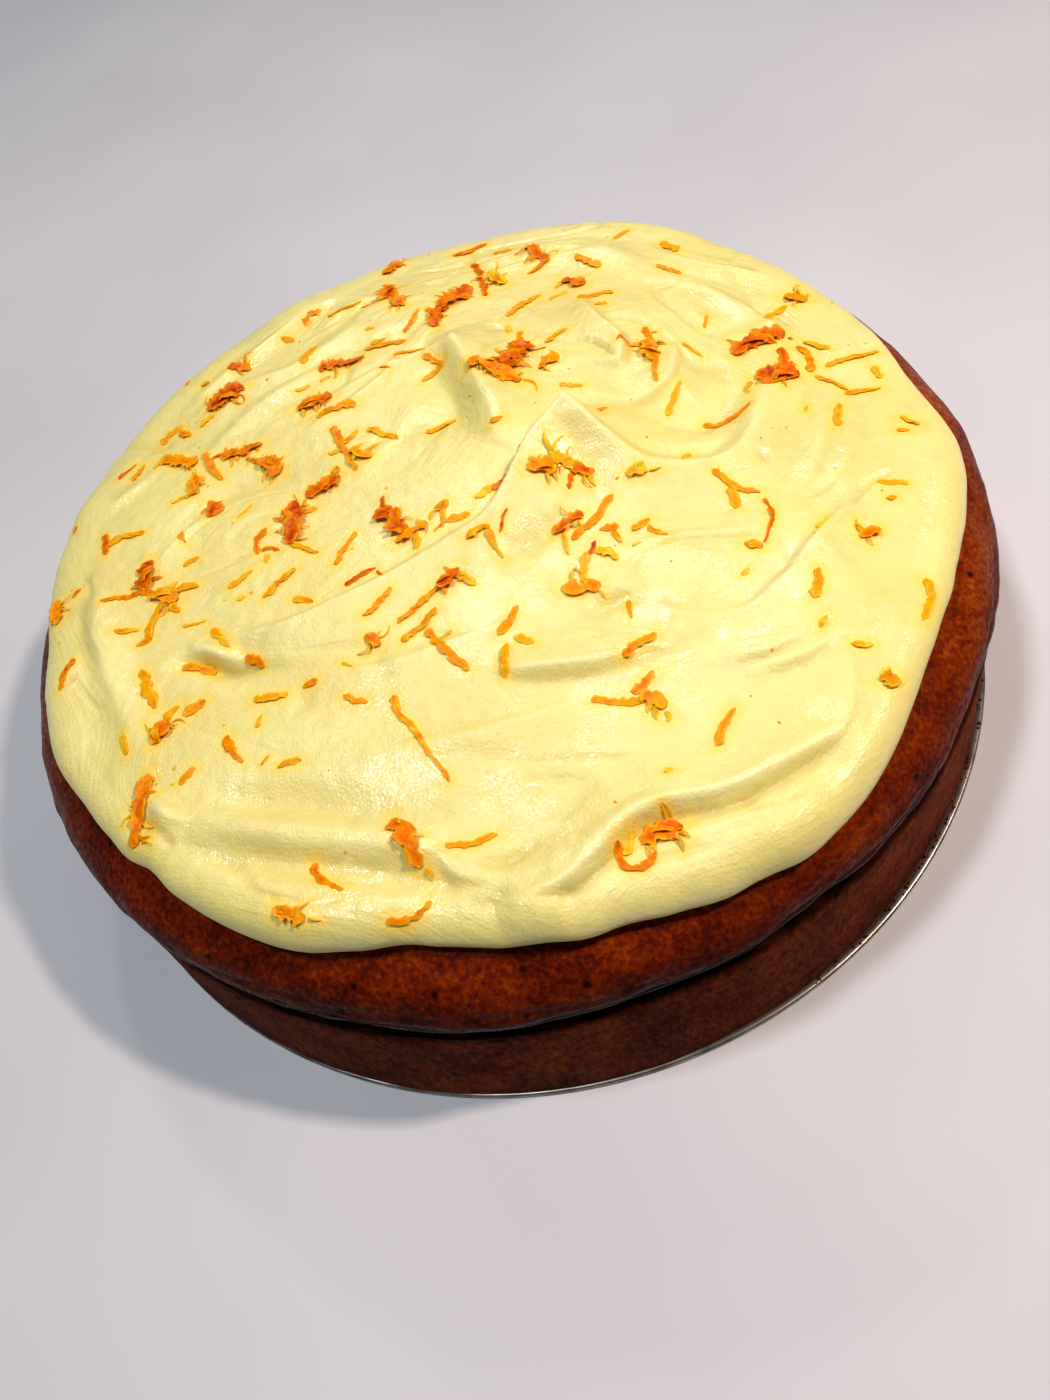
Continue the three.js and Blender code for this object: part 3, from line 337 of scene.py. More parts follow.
# ---- Small tools ---------------------------------------------------------------------------------
def colour(code):
    """Linear RGBA of an sRGB hex colour."""
    parts = [int(code[i:i + 2], 16) / 255 for i in (1, 3, 5)]
    return (*[c / 12.92 if c <= 0.04045 else ((c + 0.055) / 1.055) ** 2.4 for c in parts], 1.0)


def per_mm(size):
    """Texture scale, on coordinates in metres, for features about size millimetres apart."""
    return 1 / (size * MM)


def add(tree, kind, inputs=None, output=0, stops=None, **settings):
    """Add a node with its properties, its inputs set or linked by name or number, and, on a colour
    ramp, its (position, sRGB hex) stops. Returns one of its outputs. A colour mix has its share and
    its two colours at inputs 0, 6 and 7, and the result at output 2."""
    made = tree.nodes.new(kind)
    for name, value in settings.items():
        setattr(made, name, value)
    for name, value in (inputs or {}).items():
        if isinstance(value, bpy.types.NodeSocket):
            tree.links.new(value, made.inputs[name])
        else:
            made.inputs[name].default_value = value
    for k, (position, code) in enumerate(stops or []):
        points = made.color_ramp.elements
        point = points[k] if k < len(points) else points.new(position)
        point.position, point.color = position, colour(code)
    return made.outputs[output] if made.outputs else None


def new_material(name):
    """A material, and its empty tree."""
    made = bpy.data.materials.new(name)
    made.use_nodes = True
    made.node_tree.nodes.clear()
    return made, made.node_tree


def mesh_piece(name, points, faces, material, smooth=True, attributes=None):
    """An object at the origin from points in millimetres, riding on the cake."""
    mesh = bpy.data.meshes.new(name)
    mesh.from_pydata((np.asarray(points) * MM).tolist(), [], [list(map(int, f)) for f in faces])
    for key, values in (attributes or {}).items():
        layer = mesh.attributes.new(key, "FLOAT", "POINT")
        layer.data.foreach_set("value", np.asarray(values, dtype=np.float32))
    mesh.validate()
    mesh.shade_smooth() if smooth else mesh.shade_flat()
    mesh.materials.append(material)
    piece = bpy.data.objects.new(name, mesh)
    bpy.context.scene.collection.objects.link(piece)
    return piece


def ring_points(radius, angle, height):
    """Points round the middle line at a radius and height, each one value or one for each angle."""
    height = np.broadcast_to(height, angle.shape)
    return np.column_stack([radius * np.cos(angle), radius * np.sin(angle), height])


def catmull_rom(a, b, c, d, u):
    """The smooth curve through four points in a row, at a share u of the way from b to c."""
    bent = (2 * a - 5 * b + 4 * c - d) * u**2
    return 0.5 * (2 * b + (c - a) * u + bent + (3 * b - a - 3 * c + d) * u**3)


def lattice_noise(coordinates, seed):
    """Smooth noise in -1..1 on 2 or 3 columns of coordinates, with features about one unit apart."""
    cells = np.floor(coordinates).astype(np.int64)
    part = coordinates - cells
    part = part * part * part * (part * (part * 6 - 15) + 10)
    total = np.zeros(len(coordinates))
    dimensions = coordinates.shape[1]
    primes = np.array([374761393, 668265263, 2147483647])[:dimensions]
    for corner in range(2 ** dimensions):
        bits = np.array([(corner >> k) & 1 for k in range(dimensions)])
        key = ((cells + bits) * primes).sum(axis=1) + seed * 1274126177
        key = (key ^ (key >> 13)) * 1274126177 & 0x7FFFFFFF
        value = ((key ^ (key >> 16)) & 0xFFFF) / 32767.5 - 1
        total += value * np.prod(np.where(bits, part, 1 - part), axis=1)
    return total


# ---- Form of the frosting ------------------------------------------------------------------------
def lobe(difference, half_width):
    """Periodic bump of height 1 at zero, for an angle difference in degrees."""
    wrapped = (difference + 180) % 360 - 180
    return np.exp(-(wrapped / half_width) ** 2)


def sum_of_lobes(lobes, angle):
    return sum(height * lobe(np.degrees(angle) - at, half) for at, height, half in lobes)


def edge_radius(angle):
    around = EDGE_RADIUS * np.column_stack([np.cos(angle), np.sin(angle)])
    ragged = EDGE_RAGGED * lattice_noise(around / EDGE_RAGGED_LENGTH, 13)
    return EDGE_RADIUS + sum_of_lobes(EDGE_LOBES, angle) + ragged


def lip_run(angle):
    return LIP_RUN + sum_of_lobes(LIP_LOBES, angle)


def stroke_points(line):
    """Smooth curve through a stroke's points."""
    known = np.array(line, dtype=float)
    known = np.vstack([2 * known[0] - known[1], known, 2 * known[-1] - known[-2]])
    t = np.linspace(0, len(line) - 1, SWIRL_STEPS + 1)
    i = np.minimum(t.astype(int), len(line) - 2)
    u = (t - i)[:, None]
    return catmull_rom(known[i], known[i + 1], known[i + 2], known[i + 3], u)


def nearest_on(points, xy):
    """Distance to a stroke's line, side of it (1 is left), and the line's height there."""
    distance = np.full(len(xy), np.inf)
    side = np.zeros(len(xy))
    height = np.zeros(len(xy))
    for a, b in zip(points[:-1], points[1:]):
        u = b[:2] - a[:2]
        away = xy - a[:2]
        t = np.clip(away @ u / (u @ u), 0, 1)
        off = away - t[:, None] * u
        d = np.hypot(off[:, 0], off[:, 1])
        closer = d < distance
        cross = (u[0] * off[:, 1] - u[1] * off[:, 0]) / (np.hypot(*u) * d + 1e-9)
        distance = np.where(closer, d, distance)
        side = np.where(closer, cross, side)
        height = np.where(closer, a[2] + t * (b[2] - a[2]), height)
    return distance, side, height


def swirl_relief(xy):
    """Height of the knife's swirls over the smooth top."""
    ridges = np.zeros(len(xy))
    troughs = np.zeros(len(xy))
    for line, left, right in SWIRLS:
        points = stroke_points(line)
        reach = max(left, right) + 1
        low, high = points[:, :2].min(axis=0) - reach, points[:, :2].max(axis=0) + reach
        near = np.flatnonzero(np.all((xy > low) & (xy < high), axis=1))
        if not len(near):
            continue
        distance, side, height = nearest_on(points, xy[near])
        run = right + (left - right) * (0.5 + 0.5 * side)
        rounding = CREST_ROUND * min(left, right)
        away = (np.hypot(distance, rounding) - rounding) / run
        lift = height * np.maximum(0, 1 - away) ** CREST_POWER
        ridges[near] += np.maximum(lift, 0) ** BLEND_POWER
        troughs[near] += np.maximum(-lift, 0) ** BLEND_POWER
    x, y = xy.T
    wave = 0.5 * np.sin(x / 17 + 0.6) * np.cos(y / 21 - 0.4) + 0.3 * np.sin(x / 9 + y / 11 + 1)
    return ridges ** (1 / BLEND_POWER) - troughs ** (1 / BLEND_POWER) + wave


ACROSS_REACH = 120
ACROSS_STEP = 2
STROKE_HOLD = 15  # how far from a stroke the frosting still runs along it
across_grid = []


def across_strokes(xy):
    """A coordinate that runs across the strokes, read from a grid that is worked out once."""
    if not across_grid:
        ticks = np.arange(-ACROSS_REACH, ACROSS_REACH + ACROSS_STEP, ACROSS_STEP, dtype=float)
        places = np.stack(np.meshgrid(ticks, ticks, indexing="ij"), axis=-1).reshape(-1, 2)
        total = np.zeros(len(places))
        weight = np.full(len(places), 0.02)
        for line, _, _ in SWIRLS:
            distance, side, _ = nearest_on(stroke_points(line), places)
            near = np.exp(-((distance / STROKE_HOLD) ** 2)) + 0.02 * np.exp(-distance / 25)
            total += near * distance * side
            weight += near
        slow = 0.45 * places[:, 0] + 0.9 * places[:, 1]
        across_grid.append(((total + 0.02 * slow) / weight).reshape(len(ticks), len(ticks)))
    grid = across_grid[0]
    spot = (xy + ACROSS_REACH) / ACROSS_STEP
    cell = np.clip(spot.astype(int), 0, len(grid) - 2)
    (u, v), (i, j) = (spot - cell).T, cell.T
    return ((grid[i, j] * (1 - u) + grid[i + 1, j] * u) * (1 - v)
            + (grid[i, j + 1] * (1 - u) + grid[i + 1, j + 1] * u) * v)


def streaks(xy, across):
    """Lines that the knife's edge dragged along its strokes, broad and fine, the low steps where one
    stroke ends over another, creases, and the cream's lumps. Of the two sizes of each noise, the
    first is across the strokes and the second along them."""
    wide = lattice_noise(np.column_stack([across / 8, xy / 50]), 6)
    broad = lattice_noise(np.column_stack([across / 3.8, xy / 30]), 4)
    fine = lattice_noise(np.column_stack([across / 1.9, xy / 16]), 3)
    terrace = np.tanh(lattice_noise(np.column_stack([across / 9, xy / 42]), 15) / 0.07)
    crease = lattice_noise(np.column_stack([across / 5.5, xy / 40]), 8)
    creases = np.exp(-((crease / 0.09) ** 2)) * np.clip(2 * lattice_noise(xy / 19, 9), 0, 1)
    lumps = lattice_noise(xy / 2.6, 7) + 0.7 * lattice_noise(xy / 1.5, 10)
    where = np.clip(0.55 + 0.9 * lattice_noise(xy / 24, 5), 0.1, 1)
    laid = np.clip(0.35 + 0.9 * lattice_noise(xy / 21, 16), 0, 1)
    return (0.6 * wide + where * (0.55 * broad + 0.24 * fine) + 0.3 * laid * terrace - 0.7 * creases
            + 0.08 * lumps)


def frosting_top(xy):
    """Height of the frosting's top, with the fine lines of the knife."""
    smooth = FROSTING_HEIGHT - FROSTING_DROP * (np.hypot(xy[:, 0], xy[:, 1]) / DROP_RADIUS) ** 2
    marks = sum(height * np.exp(-((xy[:, 0] - x) ** 2 + (xy[:, 1] - y) ** 2) / radius**2)
                for x, y, radius, height in SMALL_MARKS)
    height = smooth + swirl_relief(xy) + streaks(xy, across_strokes(xy)) + marks
    return height - TIP_SLUMP * np.maximum(height - TIP_SLUMPS_FROM, 0)


def lip_shape(angle):
    """Radius of the lip, height of its top and height of its widest line at each angle."""
    edge = edge_radius(angle)
    shoulder = edge - lip_run(angle)
    top = frosting_top(np.column_stack([shoulder * np.cos(angle), shoulder * np.sin(angle)]))
    seat = np.array([sponge_surface_height(r, a) for r, a in zip(edge, angle)])
    return edge, top, seat + LIP_BELLY * (top - seat)


def surface_height(xy):
    """Height of the frosting anywhere inside its edge, on the rounded lip too."""
    radius = np.hypot(xy[:, 0], xy[:, 1])
    angle = np.arctan2(xy[:, 1], xy[:, 0])
    height = frosting_top(xy)
    outside = radius > edge_radius(angle) - lip_run(angle)
    if outside.any():
        edge, top, belly = lip_shape(angle[outside])
        run = lip_run(angle[outside])
        share = np.clip((radius[outside] - edge + run) / run, 0, 1)
        height[outside] = belly + (top - belly) * np.sqrt(1 - share**2)
    return height


# ---- Form of the sponge --------------------------------------------------------------------------
def wander(angle, size, phase):
    return size * (np.sin(2 * angle + phase) + 0.4 * np.sin(5 * angle + 2 * phase)
                   + 0.2 * np.sin(9 * angle - phase))


def dome_height(radius):
    return SPONGE_HEIGHT - (SPONGE_HEIGHT - SHOULDER_HEIGHT) * (radius / SHOULDER_RADIUS) ** 2.4


def sponge_outline(angle):
    """Half outline of the sponge at one angle, from the middle of the foot to the middle of the top."""
    bulge = BULGE_RADIUS + wander(angle, 0.3, 1.3)
    waist = GROOVE_HEIGHT + wander(angle, 0.5, 0.4)
    direction = math.degrees(angle)
    foot = WALL_FOOT_RADIUS - BARE_RIM * lobe(direction - BARE_RIM_DIRECTION, BARE_RIM_HALF_WIDTH)
    filled = WAIST_FILL * lobe(direction - WAIST_FILL_DIRECTION, WAIST_FILL_HALF_WIDTH)
    groove = GROOVE_RADIUS + filled
    outline = [
        (0, TIN_THICKNESS),
        (foot - 0.6, TIN_THICKNESS),
        (foot, TIN_THICKNESS + 0.8),
        ((foot + WALL_TOP_RADIUS) / 2 - 0.3, WALL_TOP / 2),
        (WALL_TOP_RADIUS, WALL_TOP - 1.6 + wander(angle, 0.5, 0.4)),
        (WALL_TOP_RADIUS - 0.7, waist - 1.4),
        (groove, waist),
        (groove + 0.75 * (bulge - groove), waist + 1.8),
        (bulge, BULGE_HEIGHT),
        (bulge - 1.1, BULGE_HEIGHT + 3),
        (bulge - 3.6, BULGE_HEIGHT + 6),
        (bulge - 8, BULGE_HEIGHT + 9),
        (SHOULDER_RADIUS, SHOULDER_HEIGHT),
    ]
    inner = [share * SHOULDER_RADIUS for share in (0.86, 0.62, 0.32)]
    return np.array(outline + [(r, dome_height(r)) for r in inner] + [(0, SPONGE_HEIGHT)])


BULGE_CORNER = 8  # of the outline; the sponge's upper side starts there


def sponge_surface_height(radius, angle):
    """Height of the sponge's upper side at a radius inside the bulge."""
    upper = sponge_outline(angle)[BULGE_CORNER:][::-1]
    return np.interp(radius, upper[:, 0], upper[:, 1])


# ---- Orange zest ---------------------------------------------------------------------------------
def draw(item, purpose):
    """The same number from 0 to 1 for the same item and purpose, every time."""
    value = math.sin(item * 12.9898 + purpose * 78.233) * 43758.5453
    return value - math.floor(value)


def strand(item, row, lift=0.0, tilt=0.0, twist=0.0, taper=0.0):
    """Spine and section of one piece of zest. Lift is how far its middle rises off the frosting, and
    taper how much of its width it loses by its far end."""
    x, y, heading, length, bend, width, tone = row
    steps = max(5, round(length / STRAND_STEP))
    t = np.linspace(0, 1, steps + 1)
    place = np.column_stack([t * length / WOBBLE_LENGTH, np.full_like(t, item)])
    wobble = min(16, 5 * length) * lattice_noise(place, 41)
    direction = np.radians(heading + bend * (t - 0.5) + wobble)
    middle = (direction[:-1] + direction[1:]) / 2
    line = np.zeros((steps + 1, 2))
    line[1:, 0] = np.cumsum(length / steps * np.cos(middle))
    line[1:, 1] = np.cumsum(length / steps * np.sin(middle))
    line += np.array([x, y]) - (line[0] + line[-1]) / 2
    line *= np.minimum(1, (EDGE_RADIUS - ZEST_MARGIN) / np.hypot(line[:, 0], line[:, 1]))[:, None]
    return {"item": item, "t": t, "line": line, "width": width, "taper": taper, "length": length,
            "lift": lift, "tilt": tilt, "twist": twist, "tone": tone}


def fibres(sheet, item):
    """Thin torn fibres and curls that stand off the rim of a crumpled sheet."""
    made = []
    for k in range(round(2 + sheet["length"] * sheet["width"] / 9)):
        own = item * 37 + k
        at = int(draw(own, 27) * (len(sheet["t"]) - 1))
        end = at in (0, len(sheet["t"]) - 2)
        step = sheet["line"][at + 1] - sheet["line"][at]
        along = math.degrees(math.atan2(step[1], step[0]))
        side = 1 if draw(own, 28) > 0.5 else -1
        turn = side * (50 + 60 * draw(own, 29)) if not end else 60 * draw(own, 29) - 30
        reach = 1.4 + 3.4 * draw(own, 30) ** 2
        out = math.radians(along + turn)
        outward = np.array([math.cos(out), math.sin(out)])
        middle = sheet["line"][at] + 0.3 * sheet["width"] * outward + 0.5 * reach * outward
        row = (*middle, along + turn, reach, 240 * draw(own, 31) - 120, 0.5 + 0.9 * draw(own, 32),
               sheet["tone"] + 0.1 + 0.35 * draw(own, 33))
        made.append(strand(own, row, lift=0.2 + 0.6 * draw(own, 34), tilt=80 * draw(own, 35) - 40,
                           taper=0.75))
    return made


def zest_pieces(row, item):
    """A plain strip, or a crumpled sheet with a fold lying over it and torn fibres round it."""
    x, y, heading, length, bend, width, tone = row
    swing = lambda purpose, size: size * (2 * draw(item, purpose) - 1)
    if width < SHEET_WIDTH:
        return [strand(item, row, lift=0.25 * draw(item, 12) * (length > 5), tilt=swing(13, 12),
                       twist=swing(14, 22), taper=0.5 * draw(item, 15))]
    sheet = strand(item, row, lift=0.35, tilt=swing(16, 16), twist=swing(17, 30))
    made = [sheet]
    if width > FOLDED_WIDTH:
        fold = (x + swing(18, 0.8), y + swing(19, 0.8), heading + swing(20, 35), 0.6 * length,
                bend + swing(21, 50), 0.55 * width, tone + 0.12)
        made.append(strand(item * 31, fold, lift=1.1, tilt=swing(22, 40), twist=swing(23, 90),
                           taper=0.3))
    return made + fibres(sheet, item)


def all_strands():
    strands = []
    for item, row in enumerate(LARGE_SHREDS + SMALL_SHREDS, start=1):
        strands += zest_pieces(row, item)
    return strands


# ---- Pieces --------------------------------------------------------------------------------------
def fan_and_strips(rings):
    """Faces that join rings of equal length, whose first and last may be a single point."""
    faces = []
    for (a, count_a), (b, count_b) in zip(rings[:-1], rings[1:]):
        count = max(count_a, count_b)
        for i in range(count):
            j = (i + 1) % count
            if count_a == 1:
                faces.append((a, b + j, b + i))
            elif count_b == 1:
                faces.append((a + i, a + j, b))
            else:
                faces.append((a + i, a + j, b + j, b + i))
    return faces


FROSTING_STEP = 0.66
HOLLOW_ROUNDS = 14  # rounds of averaging with neighbours, about 2.5 mm wide
HOLLOW_DEPTH = 0.9  # how far below its surroundings counts as fully hollow
STAIN_REACH = 1.1  # how far the zest's juice colours the cream round it


def zest_stain(points, strands):
    """How much the juice of the nearest zest colours the frosting, from 0 to 1."""
    spines = [(p, s["width"]) for s in strands for p in s["line"]]
    tree = KDTree(len(spines))
    for k, (p, _) in enumerate(spines):
        tree.insert((p[0], p[1], 0), k)
    tree.balance()
    stain = np.zeros(len(points))
    for k, (x, y) in enumerate(points[:, :2]):
        _, nearest, distance = tree.find((x, y, 0))
        beyond = max(0, distance - spines[nearest][1] / 2) / STAIN_REACH
        stain[k] = math.exp(-beyond * beyond) if beyond < 3 else 0
    return stain


def hollowness(points, faces, count):
    """How far each of the first points lies below the average of its surroundings, from 0 to 1."""
    pairs = np.array([pair for f in faces for pair in zip(f, f[1:] + f[:1])])
    pairs = pairs[np.all(pairs < count, axis=1)]
    degree = np.bincount(pairs[:, 0], minlength=count)
    level = points[:count, 2].copy()
    for _ in range(HOLLOW_ROUNDS):
        around = np.bincount(pairs[:, 0], weights=level[pairs[:, 1]], minlength=count)
        level = 0.4 * level + 0.6 * around / np.maximum(degree, 1)
    depth = np.zeros(len(points))
    depth[:count] = np.clip((level - points[:count, 2]) / HOLLOW_DEPTH, -1, 1)
    return 0.5 + 0.5 * depth


def wetness(points):
    """How wet the frosting is, from 0 to 1: in patches with a ragged edge."""
    wet = np.zeros(len(points))
    ragged = 1 + 0.45 * lattice_noise(points[:, :2] / 4, 51)
    for x, y, radius in WET_PATCHES:
        distance = np.hypot(points[:, 0] - x, points[:, 1] - y) * ragged
        wet = np.maximum(wet, np.clip(1.6 * (1 - distance / radius), 0, 1))
    return wet


def make_frosting(material, strands):
    """The frosting: rings of the top that gain six points each, the rounded lip, and the underside
    that lies on the sponge."""
    rings = round(EDGE_RADIUS / FROSTING_STEP)
    polar = [(0.0, 0.0)]
    for ring in range(1, rings + 1):
        for i in range(6 * ring):
            polar.append((ring / rings, 2 * math.pi * i / (6 * ring)))
    polar = np.array(polar)
    radius = polar[:, 0] * (edge_radius(polar[:, 1]) - lip_run(polar[:, 1]))
    xy = np.column_stack([radius * np.cos(polar[:, 1]), radius * np.sin(polar[:, 1])])
    height = frosting_top(xy)
    points = np.column_stack([xy, height])

    around = 6 * rings
    angle = 2 * np.pi * np.arange(around) / around
    edge, _, belly = lip_shape(angle)
    run = lip_run(angle)
    shoulder = edge - run
    top = height[-around:]
    foot_radius = edge - LIP_TUCK
    foot = np.array([sponge_surface_height(r, a) for r, a in zip(foot_radius, angle)]) + CRUMB_GAP / 2
    rows = []  # the lip down to its widest line, its tucked part below that, and the underside
    for turn in np.linspace(0, np.pi / 2, 10)[1:]:
        rows.append((shoulder + run * np.sin(turn), belly + (top - belly) * np.cos(turn)))
    for turn in np.linspace(0, np.pi / 2, 7)[1:]:
        rows.append((edge - LIP_TUCK * (1 - np.cos(turn)), belly + (foot - belly) * np.sin(turn)))
    for share in (0.93, 0.75, 0.5, 0.25):
        inner = foot_radius * share
        under = np.array([sponge_surface_height(r, a) for r, a in zip(inner, angle)])
        rows.append((inner, under + CRUMB_GAP))
    strips = [ring_points(r, angle, z) for r, z in rows]
    middle = len(points) + around * len(strips)
    last = np.array([[0, 0, SPONGE_HEIGHT + CRUMB_GAP]])

    faces = []
    start = lambda ring: 0 if ring == 0 else 1 + 3 * ring * (ring - 1)
    for ring in range(1, rings + 1):
        outer, inner = start(ring), start(ring - 1)
        for sector in range(6):
            for i in range(ring):
                out_a = outer + (sector * ring + i) % (6 * ring)
                out_b = outer + (sector * ring + i + 1) % (6 * ring)
                in_a = 0 if ring == 1 else inner + (sector * (ring - 1) + i) % (6 * (ring - 1))
                faces.append((in_a, out_a, out_b))
                if i < ring - 1:
                    in_b = inner + (sector * (ring - 1) + i + 1) % (6 * (ring - 1))
                    faces.append((in_a, out_b, in_b))
    lip = [(start(rings), around)]
    lip += [(len(points) + k * around, around) for k in range(len(strips))] + [(middle, 1)]
    faces += [tuple(reversed(f)) for f in fan_and_strips(lip)]
    everything = np.vstack([points, *strips, last])
    # the hollow attribute sets where painted shade darkens the frosting's hollows and painted light
    # pales its crests
    piece = mesh_piece("frosting_swirled", everything, faces, material, attributes={
        "across": across_strokes(everything[:, :2]), "stain": zest_stain(everything, strands),
        "hollow": hollowness(everything, faces, len(points)), "wet": wetness(everything)})
    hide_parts("frosting")
    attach(piece, "root")
    return piece


def strip_mesh(s):
    """Points, faces and tones of one piece: a thin ragged ribbon along its spine, which half follows the
    frosting under it. A wide one is crumpled, and its rim is thinner and lighter than its middle."""
    item, t, length, width = s["item"], s["t"], s["length"], s["width"]
    columns = 5 if width < SHEET_WIDTH else 9
    along, side_at = np.meshgrid(t * length, np.linspace(-1, 1, columns), indexing="ij")
    shape = along.shape
    own = np.full(along.size, item * 9.37)

    def wrinkles(size, seed):
        place = np.column_stack([along.ravel() / size, side_at.ravel() * width / 2 / size, own])
        return lattice_noise(place, seed).reshape(shape)

    run = np.gradient(s["line"], axis=0)
    run /= np.linalg.norm(run, axis=1)[:, None]
    leftward = np.column_stack([-run[:, 1], run[:, 0]])
    ends = np.minimum(1, 0.35 + np.minimum(t, 1 - t) * length / (0.45 * width + 0.3))
    ends = ends * (1 - s["taper"] * t)
    torn = []
    for k in (-1, 1):
        rim = np.column_stack([t * length / 0.85, np.full_like(t, item * 5.1 + k)])
        torn.append(ends * (1 + 0.5 * lattice_noise(rim, 44) + 0.35 * lattice_noise(rim / 2.7, 46)))
    torn = np.where(side_at < 0, torn[0][:, None], torn[1][:, None])
    half = side_at * STRIP_WIDTH_SHARE * width / 2 * torn
    turn = np.radians(s["tilt"] + s["twist"] * (t - 0.5))[:, None]
    xy = s["line"][:, None] + leftward[:, None] * (half * np.cos(turn))[..., None]
    ground = surface_height(xy.reshape(-1, 2)).reshape(shape)
    spine = ground[:, shape[1] // 2][:, None]
    crumple = min(0.8, 0.13 * width)
    folds = 0.75 * wrinkles(1.5, 47) + 0.4 * wrinkles(0.7, 48)
    rise = (s["lift"] * 4 * t * (1 - t))[:, None] + half * np.sin(turn) + 0.1 * width * side_at**2
    height = 0.5 * (ground + spine) + rise + crumple * (0.45 + folds)
    height = np.maximum(height, ground + 0.05)
    thick = STRIP_THICKNESS / 2 * (1 - 0.75 * side_at**2) * (0.6 + 0.4 * ends[:, None])
    top = np.concatenate([xy, (height + thick)[..., None]], axis=2)
    under = np.concatenate([xy, (height - thick)[..., None]], axis=2)
    # the raised folds of a crumple are painted lighter and its dips darker, as painted light and shade;
    # the rim is lighter where the peel is thinner
    tone = s["tone"] + 0.3 * side_at**2 + 0.2 * wrinkles(1.6, 43) + 0.16 * folds
    tone = tone + 0.25 * (1 - ends[:, None])
    ring = np.concatenate([top, under[:, ::-1]], axis=1)
    tones = np.concatenate([tone, tone[:, ::-1]], axis=1)
    sections, count = ring.shape[:2]
    points = np.vstack([ring.reshape(-1, 3), ring[0].mean(axis=0), ring[-1].mean(axis=0)])
    faces = []
    for j in range(sections - 1):
        for k in range(count):
            a, b = j * count + k, j * count + (k + 1) % count
            faces.append((a, a + count, b + count, b))
    start, tail = sections * count, (sections - 1) * count
    for k in range(count):
        after = (k + 1) % count
        faces += [(start, k, after), (start + 1, tail + after, tail + k)]
    return points, faces, np.concatenate([tones.ravel(), [s["tone"] + 0.3] * 2])


def make_zest(strands, material):
    """Every piece of orange zest, as one mesh."""
    points, faces, tones = [], [], []
    count = 0
    for s in strands:
        new_points, new_faces, tone = strip_mesh(s)
        points.append(new_points)
        tones.append(tone)
        faces += [tuple(count + i for i in f) for f in new_faces]
        count += len(new_points)
    piece = mesh_piece("orange_zest", np.vstack(points), faces, material,
                       attributes={"tone": np.clip(np.concatenate(tones), 0, 1)})
    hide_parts("frosting")
    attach(piece, "root")


def turned_piece(name, low, rings, high, material):
    """A closed piece of rings of points, stacked between two points on the middle line."""
    around = len(rings[0])
    starts = [(0, 1)] + [(1 + k * around, around) for k in range(len(rings))]
    starts.append((1 + len(rings) * around, 1))
    points = np.vstack([[[0, 0, low]], *rings, [[0, 0, high]]])
    return mesh_piece(name, points, fan_and_strips(starts), material)


SPONGE_AROUND = 720
# rings from each corner of the outline to the next
SPONGE_ROWS = [2, 2, 1, 16, 14, 4, 5, 5, 6, 5, 5, 6, 3, 3, 3, 2]
SIDE_FROM = 96  # the radius at which the relief of the side begins


def make_sponge(shoulder_material, wall_material):
    """The browned sponge: the half outline at each angle, with fine wrinkles round its waist. Its wall,
    up to the waist, has its own finish."""
    angle = 2 * np.pi * np.arange(SPONGE_AROUND) / SPONGE_AROUND
    outlines = np.array([sponge_outline(a) for a in angle])
    rows = [k + (step + 1) / steps for k, steps in enumerate(SPONGE_ROWS) for step in range(steps)]
    rings = []
    for row in rows[:-1]:
        r, z = smooth_outline(outlines, row).T
        on_side = np.clip((r - SIDE_FROM) / 6, 0, 1) * np.clip((z - TIN_THICKNESS) / 1.5, 0, 1)
        rings.append(ring_points(r + on_side * side_relief(angle, z), angle, z))
    piece = turned_piece("sponge_crust", TIN_THICKNESS, rings, SPONGE_HEIGHT, shoulder_material)
    piece.data.materials.append(wall_material)
    centres = np.empty(3 * len(piece.data.polygons))
    piece.data.polygons.foreach_get("center", centres)
    on_wall = (centres[2::3] < GROOVE_HEIGHT * MM).astype(np.int32)
    piece.data.polygons.foreach_set("material_index", on_wall)
    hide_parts("sponge")
    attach(piece, "root")


def smooth_outline(outlines, row):
    """Point of every outline at a fractional corner number; its foot and middle stay straight."""
    last = outlines.shape[1] - 1
    k = min(int(row), last - 1)
    u = row - k
    pick = lambda i: outlines[:, min(max(i, 0), last)]
    if k in (0, 1, last - 1):
        return pick(k) + u * (pick(k + 1) - pick(k))
    return catmull_rom(pick(k - 1), pick(k), pick(k + 1), pick(k + 2), u)


WAIST_WRINKLES = [(-2.8, 0.4), (-0.4, 0.7), (1.6, 0.6), (3.9, 0.5), (6.6, 0.35)]  # height, depth


def side_relief(angle, z):
    """Outward relief of the side: slow dents, and thin wrinkles near the waist."""
    around = np.column_stack([np.cos(angle), np.sin(angle)]) * BULGE_RADIUS
    dents = lattice_noise(np.column_stack([around / 16, z / 9]), 11)
    small = lattice_noise(np.column_stack([around / 4.5, z / 3.0]), 12)
    above = np.clip((z - GROOVE_HEIGHT) / 3, 0, 1)
    relief = (0.28 + 0.4 * above) * dents + (0.14 + 0.14 * above) * small
    for k, (height, depth) in enumerate(WAIST_WRINKLES):
        line = GROOVE_HEIGHT + height + wander(angle, 0.5, 0.4)
        line = line + 0.7 * lattice_noise(around / 14, 20 + k)
        strength = np.clip(0.6 + 0.8 * lattice_noise(around / 22, 30 + k), 0.1, 1)
        relief = relief - depth * strength * np.exp(-(((z - line) / 0.5) ** 2))
    return relief


TIN_AROUND = 360
TIN_SUNK = 0.25


